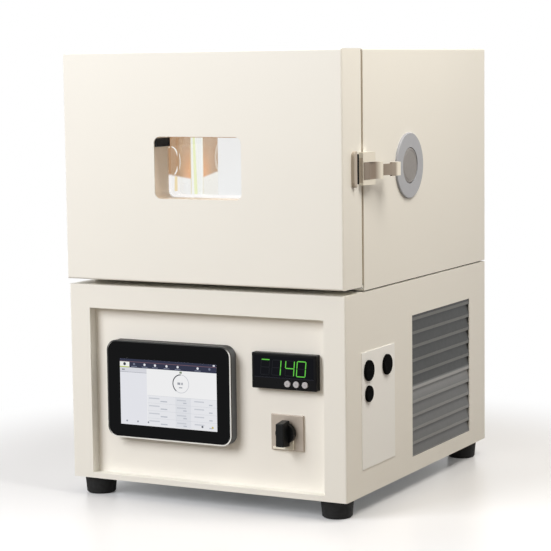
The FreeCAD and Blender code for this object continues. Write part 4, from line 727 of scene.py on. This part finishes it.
    # Painted highlight on the louvre's lips, paler again below the same height.
    grille_edge = PalerBelow("enamel_grille_painted_lip_highlight", "#626360", roughness=0.35, specular=0.22,
                          uneven=0.03, uneven_mm=40, grain_mm=1.2, grain_high_mm=0.006,
                          low_colour="#A6A8A9")
    # Die-cast latch parts in the cabinet's powder coat.
    latch = Finish("powder_coat_latch", "#F3EFE3", roughness=0.4, uneven=0.02, uneven_mm=12,
                   grain_mm=0.9, grain_high_mm=0.008)
    # The lever: the same casting, with painted shade in its hollows and a painted highlight on its
    # crest and grip.
    lever = LeverPaintedLight("lever_painted_shade_and_highlight", "#8E8072", roughness=0.34, coat=0.05, uneven=0.02,
                       uneven_mm=12, grain_mm=0.9, grain_high_mm=0.004)
    # Recess, cheek and keeper: painted shade, as darker copies of the latch's enamel and coat.
    recess_shade = Finish("enamel_taupe_painted_shade", "#8F8274", roughness=0.25, coat=0.2, uneven=0.05, uneven_mm=9,
                   grain_mm=0.9, grain_high_mm=0.003)
    cheek = Finish("powder_coat_cheek_painted_shade", "#D8CDBE", roughness=0.35, uneven=0.02, uneven_mm=12,
                   grain_mm=0.9, grain_high_mm=0.006)
    keeper = Finish("powder_coat_keeper_painted_shade", "#B9AEA0", roughness=0.35, uneven=0.02, uneven_mm=12,
                    grain_mm=0.9, grain_high_mm=0.006)


DRESS = {
    "powder_coat": Finishes.coat, "panel_coat": Finishes.panel, "plate_coat": Finishes.plate,
    "stainless": Finishes.stainless, "galvanised": Finishes.zinc, "bright_steel": Finishes.polished,
    "housing_plastic": Finishes.housing, "trim": Finishes.trim, "cover_glass": Finishes.glass,
    "display": Finishes.display, "instrument": Finishes.bezel, "dark_window": Finishes.smoked,
    "key": Finishes.key, "switch_plate": Finishes.switch_plate, "black_plastic": Finishes.black,
    "pointer": Finishes.pointer, "black_rubber": Finishes.rubber, "seal": Finishes.seal,
    "strip": Finishes.strip, "foam": Finishes.foam, "fins": Finishes.fins,
    "compressor_paint": Finishes.pot, "motor": Finishes.motor, "wheel": Finishes.wheel,
    "pane": Finishes.pane, "port_ring": Finishes.ring, "plug": Finishes.plug,
    "latch": Finishes.latch, "grille_paint": Finishes.grille,
}


def settle(piece: Object, finish: Finish, body: str,
           instead_of: Iterable[str] = ()) -> Object:
    """Give a new piece its finish and the body it rides on, and hide the CAD nodes that it stands
    for.

    Args:
        piece: the new piece.
        finish: its finish.
        body: the CAD body that it moves with.
        instead_of: CAD nodes that it stands for.

    Returns:
        The same piece.
    """
    piece.data.materials.clear()
    piece.data.materials.append(finish.material())
    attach(piece, body)
    if instead_of:
        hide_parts(*instead_of)
    LOG.info("%s: %d faces on %s", piece.name, len(piece.data.polygons), body)
    return piece


# The studio


@dataclass
class Studio:
    """Camera, lamps, world and floor."""

    lens_mm: float = 125.46
    place_mm: tuple[float, float, float] = (1276.4, -2459.55, 595.1)
    azimuth: float = 27.715
    pitch: float = 6.243
    roll: float = -0.726
    room_glow: float = 0.37
    lamps: tuple[tuple, ...] = (
        ("key_lamp", (-1.2, -2.2, 1.6), (0.0, 0.0, 0.35), 1.5, 58.5, "#FBFCFF"),
        ("side_lamp", (0.9, -0.15, 1.55), (0.2, 0.0, 0.4), 0.7, 17.0, "#FFFAF2"),
    )
    floor_glow: float = 0.06
    fade_from: float = 0.38
    fade_to: float = 0.75

    def camera(self) -> None:
        """The camera at the photograph's place and angle."""
        a, p, r = (math.radians(v) for v in (self.azimuth, self.pitch, self.roll))
        right = Vector((math.cos(a), math.sin(a), 0.0))
        ahead = Vector((-math.sin(a) * math.cos(p), math.cos(a) * math.cos(p), -math.sin(p)))
        up = right.cross(ahead)
        across = right * math.cos(r) + up * math.sin(r)
        above = up * math.cos(r) - right * math.sin(r)
        turn = Matrix((across, above, -ahead)).transposed()
        lens = bpy.data.cameras.new("camera")
        lens.lens = self.lens_mm
        lens.sensor_width = 36.0
        lens.clip_start = 0.05
        lens.clip_end = 50.0
        made = bpy.data.objects.new("camera", lens)
        made.matrix_world = Matrix.Translation(Vector(self.place_mm) * MM) @ turn.to_4x4()
        bpy.context.scene.collection.objects.link(made)
        bpy.context.scene.camera = made

    def lamp(self, name: str, place: Row, aim: Row, size: float, watts: float, tone: str) -> None:
        """A square soft lamp that looks at a point.

        Args:
            name: the lamp's name.
            place: where it hangs, in metres.
            aim: the point that it looks at, in metres.
            size: its side in metres.
            watts: its power.
            tone: its colour.
        """
        data = bpy.data.lights.new(name, "AREA")
        data.size = size
        data.energy = watts
        data.color = linear(tone)[:3]
        made = bpy.data.objects.new(name, data)
        turn = (Vector(aim) - Vector(place)).to_track_quat("-Z", "Y")
        made.matrix_world = Matrix.Translation(place) @ turn.to_matrix().to_4x4()
        bpy.context.scene.collection.objects.link(made)

    def seen(self, tree: NodeTree) -> NodeSocket:
        """1 for what the camera sees, also in gloss and through glass, and 0 for stray light."""
        path = add_node(tree, "ShaderNodeLightPath")
        first = add_node(tree, "ShaderNodeMath", {
            0: path.outputs["Is Camera Ray"], 1: path.outputs["Is Transmission Ray"],
        }, operation="MAXIMUM")
        return add_node(tree, "ShaderNodeMath", {
            0: first.outputs[0], 1: path.outputs["Is Glossy Ray"],
        }, operation="MAXIMUM").outputs[0]

    def world(self) -> None:
        """An even warm grey room that the camera, gloss and glass see as white."""
        world = bpy.data.worlds.new("studio")
        bpy.context.scene.world = world
        world.use_nodes = True
        tree = world.node_tree
        tree.nodes.clear()
        room = add_node(tree, "ShaderNodeBackground", {
            "Color": linear("#FFF4E7"), "Strength": self.room_glow,
        })
        white = add_node(tree, "ShaderNodeBackground", {"Color": (1, 1, 1, 1), "Strength": 1.0})
        mixed = join_shaders(tree, self.seen(tree), room, white)
        add_node(tree, "ShaderNodeOutputWorld", {"Surface": mixed.outputs[0]})

    def floor(self) -> None:
        """White paper that keeps the shadow near the chamber and fades to plain white beyond."""
        side = 20000.0
        plane = make_mesh("studio_floor", stand(np.array([
            [-side, -side], [side, -side], [side, side], [-side, side],
        ]), Plane.LEVEL, 0.0), [[0, 1, 2, 3]])
        made = bpy.data.materials.new("studio_floor_paper")
        made.use_nodes = True
        tree = made.node_tree
        tree.nodes.clear()
        seen = self.seen(tree)
        tone = blend(tree, seen, linear("#6E6252"), linear("#EBECEE"))
        glow = product(tree, seen, self.floor_glow)
        paper = add_node(tree, "ShaderNodeBsdfPrincipled", {
            "Base Color": tone, "Roughness": 0.3, "Specular IOR Level": 0.35,
            "Emission Color": (1, 1, 1, 1), "Emission Strength": glow,
        })
        plain = add_node(tree, "ShaderNodeEmission", {"Color": (1, 1, 1, 1), "Strength": 1.0})
        place = add_node(tree, "ShaderNodeTexCoord").outputs["Object"]
        away = add_node(tree, "ShaderNodeVectorMath", {0: place}, operation="LENGTH")
        far = add_node(tree, "ShaderNodeMapRange", {
            "Value": away.outputs["Value"], "From Min": self.fade_from, "From Max": self.fade_to,
        }, interpolation_type="SMOOTHSTEP")
        mixed = join_shaders(tree, product(tree, seen, far.outputs[0]), paper, plain)
        add_node(tree, "ShaderNodeOutputMaterial", {"Surface": mixed.outputs[0]})
        plane.data.materials.append(made)

    def build(self) -> None:
        """Set up everything round the chamber."""
        bpy.context.scene.view_settings.view_transform = "Standard"
        self.camera()
        self.world()
        self.floor()
        for row in self.lamps:
            self.lamp(*row)


# The sub-assemblies


class Dressing:
    """The finishes of the CAD nodes that stay."""

    own = {
        "test_space_liner": Finishes.room_wall, "air_baffle": Finishes.room_back,
        "window_frame": Finishes.reveal, "latch_lever": Finishes.lever,
        "latch_keeper": Finishes.keeper, "shelf_rails": Finishes.room_wall,
        "switch_pointer": Finishes.black, "connector_caps": Finishes.cap,
    }

    def build(self) -> None:
        """Give each CAD node its own finish, or else that of its slot."""
        for name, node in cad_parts.items():
            slots = [m.name.split(".")[0] for m in node.data.materials if m]
            for index, slot in enumerate(slots):
                node.data.materials[index] = self.own.get(name, DRESS[slot]).material()
            LOG.info("%s: %s", name, slots)


@dataclass
class TouchPanel:
    """Panel computer: the picture on its screen."""

    centre: tuple[float, float] = (-56.0, 151.3)
    wide: float = 152.4
    high: float = 91.4
    face: float = -242.44
    layer: float = 0.05
    gauge_at: tuple[float, float] = (0.635, 0.325)
    gauge_radius: float = 12.8

    def corner(self) -> tuple[float, float]:
        """The screen's upper left corner in mm."""
        return (self.centre[0] - self.wide / 2, self.centre[1] + self.high / 2)

    def spot(self, rows: Sequence[Row]) -> np.ndarray:
        """Turn shares of the screen, from its upper left corner, into outlines in mm."""
        part = np.asarray(rows, float)
        left, top = self.corner()
        return bars(np.stack([
            left + part[:, 0] * self.wide, top - part[:, 3] * self.high,
            left + part[:, 2] * self.wide, top - part[:, 1] * self.high,
        ], axis=1))

    def ink(self, tone: str) -> Finish:
        """A lit colour of the screen."""
        return Lit(f"screen_{tone[1:]}", tone, roughness=0.12, uneven=0.01, grain_mm=4.0, glow=0.92)

    def paint(self, name: str, rows: Sequence[Row], tone: str, level: int) -> None:
        """Lay lit rectangles on the screen.

        Args:
            name: the piece's name.
            rows: left, top, right and bottom of each, as shares of the screen.
            tone: their colour.
            level: how many layers they stand above the screen's ground.
        """
        front = self.face - self.layer * level
        piece = prisms(name, self.spot(rows), Plane.FRONT, front, front + self.layer)
        settle(piece, self.ink(tone), "cabinet")

    def dots(self, name: str, places: Sequence[Row], radius: float, tone: str,
             level: int) -> None:
        """Lay round spots of a radius in mm at shares of the screen."""
        left, top = self.corner()
        centres = np.asarray(places, float) * [self.wide, -self.high] + [left, top]
        outlines = centres[:, None, :] + circle((0, 0), radius, 20)[None]
        front = self.face - self.layer * level
        piece = prisms(name, outlines, Plane.FRONT, front, front + self.layer)
        settle(piece, self.ink(tone), "cabinet")

    def icons(self, down: float, rows: Sequence[tuple]) -> None:
        """Lay rows of icons at one height of the screen.

        Args:
            down: their height, as a share of the screen from its top.
            rows: each row's name, its places across, its radius in mm, its colour and its level.
        """
        for part, across, radius, tone, level in rows:
            self.dots(f"screen_{part}", [(x, down) for x in across], radius, tone, level)

    def band(self, name: str, middle: np.ndarray, inner: float, outer: float, start: float,
             end: float, tone: str, level: int) -> None:
        """Lay a curved band between two radii in mm and two angles in degrees."""
        turn = np.radians(np.linspace(start, end, 48))
        way = np.stack([np.cos(turn), np.sin(turn)], axis=-1)
        outline = np.concatenate([middle + way * outer, middle + way[::-1] * inner])
        front = self.face - self.layer * level
        piece = prisms(name, outline[None], Plane.FRONT, front, front + self.layer)
        settle(piece, self.ink(tone), "cabinet")

    def gauge(self) -> None:
        """The round gauge: a pale ring with a dark arc, a mark at its top and small figures."""
        left, top = self.corner()
        middle = np.array([left + self.gauge_at[0] * self.wide, top - self.gauge_at[1] * self.high])
        r = self.gauge_radius
        self.band("screen_gauge_ring", middle, r - 0.8, r, -135.0, 90.0, "#C6C8CE", 3)
        self.band("screen_gauge_arc", middle, r - 1.1, r + 0.3, 90.0, 235.0, "#2B2F3A", 3)
        u, v = self.gauge_at
        mark = [(u - 0.012, v - 0.185, u + 0.012, v - 0.155)]
        self.paint("screen_gauge_mark", mark, "#7C8A70", 3)
        self.paint("screen_gauge_figures", [
            (u - 0.035, v - 0.02, u - 0.005, v + 0.015), (u + 0.005, v - 0.02, u + 0.02, v + 0.015),
            (u - 0.02, v + 0.05, u + 0.015, v + 0.065),
        ], "#9DA0A8", 3)

    def table(self) -> None:
        """Three columns of small labels with their values."""
        rows = 0.565 + 0.115 * np.arange(4)
        label_at = ((0.30, 0.11), (0.59, 0.095), (0.77, 0.10))
        value_at = ((0.42, 0.07), (0.655, 0.035), (0.92, 0.035))
        labels = [(x, y, x + w, y + 0.018) for x, w in label_at for y in rows]
        values = [(x, y + 0.038, x + w, y + 0.056) for x, w in value_at for y in rows]
        self.paint("screen_table_ground", [(0.285, 0.53, 1.0, 0.985)], "#E8E9ED", 2)
        self.paint("screen_table_middle", [(0.575, 0.53, 0.735, 0.985)], "#E0E2E7", 3)
        self.paint("screen_table_lines", [(0.285, 0.53 + 0.115 * k, 1.0, 0.533 + 0.115 * k)
                                          for k in range(5)], "#C7CAD1", 4)
        self.paint("screen_table_labels", labels, "#C9CCD3", 4)
        self.paint("screen_table_values", values, "#BCC0C9", 4)

    def build(self) -> None:
        """Make the picture, from the ground up."""
        icons = (0.26, 0.37, 0.49, 0.605, 0.81)
        names = [(x - 0.03, 0.108, x + 0.03, 0.116) for x in (0.15,) + icons]
        marks = [(0.02, 0.155, 0.05, 0.175), (0, 0.198, 0.28, 0.203)]
        for part, rows, tone, level in (
            ("ground", [(0, 0, 1, 1)], "#F2F2F3", 1),
            ("bar", [(0, 0, 1, 0.13)], "#1E2440", 2),
            ("bar_line", [(0.0, 0.038, 1, 0.046)], "#70505C", 3),
            ("column", [(0, 0.13, 0.28, 1)], "#E6E7ED", 2),
            ("column_head", [(0, 0.13, 0.28, 0.20)], "#D8D9E0", 3),
            ("column_mark", marks, "#8A8D98", 4),
            ("tab", [(0.0, 0.046, 0.10, 0.13)], "#F2F3EF", 3),
            ("tab_line", [(0.0, 0.118, 0.10, 0.132)], "#B7C64E", 4),
        ):
            self.paint(f"screen_{part}", rows, tone, level)
        self.icons(0.08, (("tab_icon", (0.05,), 2.2, "#2E3340", 4),))
        self.icons(0.076, (
            ("icons", icons, 1.7, "#E8EAF0", 3),
            ("icons_dim", (0.15, 0.93), 1.7, "#6E7488", 3),
        ))
        self.paint("screen_icon_names", names, "#8A90A4", 3)
        self.paint("screen_corner", [(0.965, 0.008, 0.985, 0.03)], "#E8EAF0", 3)
        self.gauge()
        self.table()
        self.icons(0.945, (
            ("foot_icons", (0.065, 0.18, 0.29), 1.3, "#8F939E", 5),
            ("foot_dark", (0.85,), 1.5, "#4A4E5A", 5),
            ("foot_warm", (0.955,), 1.5, "#C9B862", 5),
        ))


@dataclass
class Limiter:
    """Temperature limiter: the digits behind its dark window and the signs on its keys."""

    left: float = 75.5
    right: float = 163.5
    low: float = 184.0
    high: float = 213.0
    face: float = -237.75
    cells: tuple[float, float, float, float] = (83.9, 100.7, 120.6, 137.5)
    digit_wide: float = 14.0
    digit_low: float = 187.2
    digit_high: float = 21.5
    slant: float = 0.09
    stroke: float = 0.046
    key_x: tuple[float, float, float] = (124.9, 137.9, 150.9)
    key_z: float = 177.0
    key_face: float = -239.25

    def segments(self, cell: int, which: str) -> np.ndarray:
        """Hexagons of a seven-segment digit.

        Each runs along its edge of the digit, as wide as the stroke, with pointed ends, and
        leans by the slant times its height.

        Args:
            cell: the digit's place from the left.
            which: letters a to g of its segments.

        Returns:
            One outline of six points for each letter.
        """
        wide, high = self.digit_wide, self.digit_high
        half = wide * self.stroke
        ends = {
            "a": ((0, 1), (1, 1)), "b": ((1, 1), (1, .5)), "c": ((1, .5), (1, 0)),
            "d": ((0, 0), (1, 0)), "e": ((0, 0), (0, .5)), "f": ((0, .5), (0, 1)),
            "g": ((0, .5), (1, .5)),
        }
        pair = np.array([ends[k] for k in which]) * np.array([wide - 2 * half, high - 2 * half])
        start, end = pair[:, 0] + half, pair[:, 1] + half
        way = (end - start) / np.linalg.norm(end - start, axis=1)[:, None]
        aside = np.stack([-way[:, 1], way[:, 0]], axis=1) * half
        gap = way * half * 0.25
        start, end, way = start + gap, end - gap, way * half
        shape = np.stack([
            start, start + way + aside, end - way + aside,
            end, end - way - aside, start + way - aside,
        ], axis=1)
        shape[..., 0] += self.cells[cell] + shape[..., 1] * self.slant
        shape[..., 1] += self.digit_low
        return shape

    def window(self) -> None:
        """The digits 1, 4 and 0, the bar before them, and the unlit segments behind."""
        unlit = np.concatenate([self.segments(k, "abcdefg") for k in range(4)])
        settle(prisms("limiter_unlit", unlit, Plane.FRONT, self.face - 0.05, self.face + 0.05),
               Finishes.segment_off, "cabinet")
        lit = np.concatenate([
            self.segments(0, "a"), self.segments(1, "bc"), self.segments(2, "bcfg"),
            self.segments(3, "abcdef"),
        ])
        settle(prisms("limiter_digits", lit, Plane.FRONT, self.face - 0.14, self.face),
               Finishes.segment, "cabinet")
        edge = bars([(self.left, self.low, self.right, self.low + 0.9)])
        settle(prisms("limiter_window_edge", edge, Plane.FRONT, self.face - 0.1, self.face + 0.1),
               Finishes.window_edge, "cabinet")

    def keys(self) -> None:
        """A sign on each key: an upright bar between two points, a point down and a point up."""
        arrow = np.array([[-1.5, -0.9], [1.5, -0.9], [0.0, 1.4]])
        signs = {"key_left": arrow[:, ::-1], "key_middle": arrow * [1, -1], "key_right": arrow}
        for (body, outline), x in zip(signs.items(), self.key_x):
            piece = prisms(f"{body}_sign", (outline + [x, self.key_z])[None], Plane.FRONT,
                           self.key_face - 0.06, self.key_face + 0.3)
            settle(piece, Finishes.key_sign, body)

    def build(self) -> None:
        """The window's picture and the keys' signs."""
        self.window()
        self.keys()


@dataclass
class MainSwitch:
    """Main switch: the cream index plate that shows at the lower right of the knob."""

    plate_front: float = -229.75
    thick: float = 3.0

    def build(self) -> None:
        """An L-shaped plate with round edges."""
        outline = np.array([
            [99.5, 87.6], [129.8, 87.6], [129.8, 100.5],
            [121.0, 100.5], [121.0, 91.0], [99.5, 91.0],
        ])
        piece = prisms("switch_index", outline[None], Plane.FRONT, self.plate_front - self.thick,
                       self.plate_front + 0.2)
        rounding(piece, 0.4, 2)
        settle(piece, Finishes.pointer, "cabinet")


@dataclass
class Louvre:
    """The louvre on the right side: sloping slats that each end in an upright lip."""

    face: float = 212.0
    deep: float = 2.8
    back: float = 205.0
    low: tuple[float, float] = (-27.6, 47.2)
    high: tuple[float, float] = (184.0, 246.8)
    top_lip: float = 241.4
    pitch: float = 19.46
    lip: float = 4.6
    count: int = 11

    def lips(self) -> np.ndarray:
        """Foot and top of each lip, from the lowest up: the top lip's middle less n pitches."""
        middle = self.top_lip - self.pitch * np.arange(self.count)[::-1]
        return np.clip(middle[:, None] + [-self.lip / 2, self.lip / 2], self.low[1], self.high[1])

    def build(self) -> None:
        """One folded sheet, and a painted highlight on its lips: paler strips just proud of them."""
        inner = self.face - self.deep
        rows = self.lips()
        folds = np.stack([
            np.stack([np.full(self.count, inner), rows[:, 0]], axis=-1),
            np.stack([np.full(self.count, self.face), rows[:, 0]], axis=-1),
            np.stack([np.full(self.count, self.face), rows[:, 1]], axis=-1),
        ], axis=1).reshape(-1, 2)
        last = self.face - self.deep * (self.high[1] - rows[-1, 1]) / (self.pitch - self.lip)
        ends = np.array([[last, self.high[1]], [self.back, self.high[1]], [self.back, self.low[1]]])
        outline = np.concatenate([folds, ends])
        slats = prisms("louvre_slats", outline[None], Plane.FRONT, self.low[0], self.high[0])
        settle(slats, Finishes.grille, "cabinet", ("side_grille",))
        # Painted highlight: paler strips laid on the lips.
        near, far = self.low[0] + 0.2, self.high[0] - 0.2
        strips = bars([(near, a + 0.15, far, b - 0.15) for a, b in rows])
        settle(prisms("louvre_lip_highlights", strips, Plane.SIDE, self.face - 0.1, self.face + 0.12),
               Finishes.grille_edge, "cabinet")


@dataclass
class Latch:
    """The latch's small parts: its recess and cheek in painted shade, and a black strip of painted
    shadow behind the keeper.
    """

    face: tuple[tuple[float, float], tuple[float, float]] = ((219.0, 43.5), (226.0, 66.5))
    recess: tuple[float, float] = (45.0, 55.3)
    recess_z: tuple[float, float] = (445.7, 468.3)
    skin: float = 0.35

    def recess_shade_plate(self) -> None:
        """A thin plate of painted shade on the sloping face between the two ears."""
        (x0, y0), (x1, y1) = self.face
        front, back = self.recess
        slope = (x1 - x0) / (y1 - y0)
        near, far = x0 + slope * (front - y0), x0 + slope * (back - y0)
        outline = np.array([
            [near - 0.2, front], [near + self.skin, front],
            [far + self.skin, back], [far - 0.2, back],
        ]) + [0.0, FRONT_Y]
        piece = prisms("latch_recess_painted_shade", outline[None], Plane.LEVEL, *self.recess_z)
        settle(piece, Finishes.recess_shade, "cabinet")

    def cheek(self) -> None:
        """The cheek at the housing's front end, in painted shade."""
        outline = rounded((213.3, 442.0), (218.8, 474.5), 0.8)
        piece = prisms("latch_cheek", outline[None], Plane.FRONT, 43.3 + FRONT_Y, 43.6 + FRONT_Y)
        settle(piece, Finishes.cheek, "cabinet")

    def buffer(self) -> None:
        """A black strip of painted shadow on the door behind the keeper, with round edges."""
        outline = rounded((212.4, 34.7 + FRONT_Y), (216.6, 37.1 + FRONT_Y), 1.0)
        piece = prisms("latch_slit_shadow", outline[None], Plane.LEVEL, 440.5, 479.5)
        rounding(piece, 0.5, 2)
        settle(piece, Finishes.black, "door")

    def build(self) -> None:
        """Make the three."""
        self.recess_shade_plate()
        self.cheek()
        self.buffer()


@dataclass
class Ports:
    """The caps on the two port plugs."""

    centre: tuple[float, float] = (-37.65, 456.3)
    radius: float = 24.3
    start: float = 213.3
    end: float = 215.1

    def build(self) -> None:
        """A low dome with a round edge and a shallow groove on each plug."""
        r, a, b = self.radius, self.start, self.end
        profile = [
            (0.0, a), (r, a), (r, b - 0.9), (r - 0.3, b - 0.3), (r - 1.0, b), (r - 3.0, b + 0.02),
            (r - 3.3, b - 0.25), (r - 3.9, b - 0.25), (r - 4.2, b + 0.05), (r * 0.5, b + 0.2),
            (0.0, b + 0.25),
        ]
        for side, body in ((1, "right_plug"), (-1, "left_plug")):
            cap = lathe(f"{body}_cap", 0, self.centre, [(q, d * side) for q, d in profile], 72)
            settle(cap, Finishes.plug, body)


@dataclass
class TestSpace:
    """The lit strip in the rear left corner, the ports' inner ends and their painted reflections."""

    wall: float = -168.0
    low: float = 344.5
    high: float = 570.5
    strip: tuple[float, float] = (24.7, 43.0)
    port: tuple[float, float] = (-37.75, 456.3)
    plug_radius: float = 24.2
    tunnel: float = -68.1

    def build(self) -> None:
        """The lamp strip, painted reflections in the window tunnel and the ends of both ports."""
        self.lamp_strip()
        self.reflections()
        self.port_ends()

    def lamp_strip(self) -> None:
        """The strip's lit bands between pale edges, and the one round the corner."""
        front, back = self.strip
        rows = {
            "light_strip_body": (front, back, 0.5, Finishes.strip_edge),
            "light_strip_front": (front + 1.4, back - 0.6, 0.8, Finishes.strip_white),
        }
        for name, (start, end, thick, finish) in rows.items():
            piece = prisms(name, bars([(start, self.low, end, self.high)]), Plane.SIDE,
                           self.wall + 0.05, self.wall + thick)
            settle(piece, finish, "cabinet")
        glow = np.array([
            [front + 12.0, self.low], [back - 0.7, self.low], [back - 0.7, 412.0],
            [front + 11.5, 505.0], [front + 10.0, self.high], [front + 3.5, self.high],
            [front + 5.0, 505.0], [front + 8.5, 412.0],
        ])
        settle(prisms("light_strip_glow", glow[None], Plane.SIDE, self.wall + 0.7, self.wall + 0.9),
               Finishes.strip_warm, "cabinet")
        corner = bars([(self.wall + 0.9, self.low, self.wall + 9.0, self.high)])
        settle(prisms("light_strip_corner", corner, Plane.FRONT, back - 0.5, back + 0.1),
               Finishes.strip_white, "cabinet")

    def reflections(self) -> None:
        """A painted reflection of the port's ring as a glowing white arc, and a painted warm gleam
        on the right side of the tunnel.
        """
        turn = np.radians(np.linspace(-62.0, 106.0, 60))
        way = np.stack([np.cos(turn), np.sin(turn)], axis=-1)
        outline = np.concatenate([way * [20.9, 20.9], way[::-1] * [17.7, 19.7]])
        outline += [41.0 + FRONT_Y, 466.3]
        # Painted reflection of the port's ring on the tunnel wall.
        settle(prisms("window_painted_ring_reflection", outline[None], Plane.SIDE, -68.55, self.tunnel),
               Finishes.strip_white, "door")
        # Painted light: a warm gleam that glows on the tunnel's right side.
        gleam = np.array([[49.0, 418.6], [57.0, 418.6], [57.0, 444.8], [50.5, 445.9]])
        gleam += [FRONT_Y, 0.0]
        settle(prisms("window_painted_gleam", gleam[None], Plane.SIDE, -68.55, -68.3), Finishes.gleam,
               "door")

    def port_ends(self) -> None:
        """A steel disc on each plug and a steel flange round it, both with the walls' painted light,
        and on the flange a glowing white ring line, a painted highlight.
        """
        r = self.plug_radius
        flat = [(25.1, 2.0), (25.1, 2.3), (30.3, 2.3), (30.3, 0.05), (30.05, 0.05), (30.05, 2.0)]
        # Painted highlight: a white ring line that glows.
        rim_highlight = [(27.1, 2.2), (28.6, 2.2), (28.6, 2.45), (27.1, 2.45)]
        parts = (("end", flat, Finishes.room_wall), ("rim_highlight", rim_highlight, Finishes.strip_white))
        for side, name in ((-1, "left"), (1, "right")):
            near, far = side * (0.05 - self.wall), side * (-0.4 - self.wall)
            shape = [(0.0, near), (r, near), (r, far), (0.0, far)]
            disc = lathe(f"{name}_plug_end", 0, self.port, shape, 72)
            settle(disc, Finishes.room_wall, f"{name}_plug")
            for part, shape, finish in parts:
                ring = lathe(f"{name}_port_{part}", 0, self.port,
                             [(r, -side * (self.wall + d)) for r, d in shape], 72, loop=True)
                settle(ring, finish, "cabinet")


@dataclass
class Fasteners:
    """Screw heads on the rear panels and on the hinge leaves."""

    head: float = 3.7
    high: float = 1.7
    rear: float = 246.2
    leaf: float = -215.0
    edge: float = 203.0
    rows: tuple[float, ...] = (34.5, 161.0, 287.5, 308.5, 457.0, 606.5)
    leaf_rows: tuple[float, ...] = (347.0, 383.0, 538.0, 574.0)

    def profile(self, way: int) -> list[tuple[float, float]]:
        """A low pan head with a round socket, from its seat outwards along way, 1 or -1."""
        r, h = self.head, self.high
        shape = ((0.0, -0.3), (r, -0.3), (r, h * 0.35), (r * 0.9, h * 0.7), (r * 0.65, h * 0.95),
                 (r * 0.45, h), (r * 0.42, h * 0.4), (0.0, h * 0.35))
        return [(q, d * way) for q, d in shape]

    def build(self) -> None:
        """Twelve heads behind, and two on each leaf."""
        panel = [(x, self.rear, z) for z in self.rows for x in (-self.edge, self.edge)]
        screws = heads("rear_panel_screws", 1, panel, self.profile(1))
        settle(screws, Finishes.polished, "cabinet")
        for body, y in (("cabinet", -163.75), ("door", -209.75)):
            leaves = [(self.leaf, y, z) for z in self.leaf_rows]
            screws = heads(f"hinge_screws_{body}", 0, leaves, self.profile(-1))
            settle(screws, Finishes.polished, body)


def main() -> None:
    """Build the studio and the chamber."""
    logging.basicConfig(level=logging.INFO, format="%(message)s")
    Studio().build()
    Dressing().build()
    TouchPanel().build()
    Limiter().build()
    MainSwitch().build()
    Louvre().build()
    TestSpace().build()
    Latch().build()
    Ports().build()
    Fasteners().build()


if __name__ == "__main__":
    main()
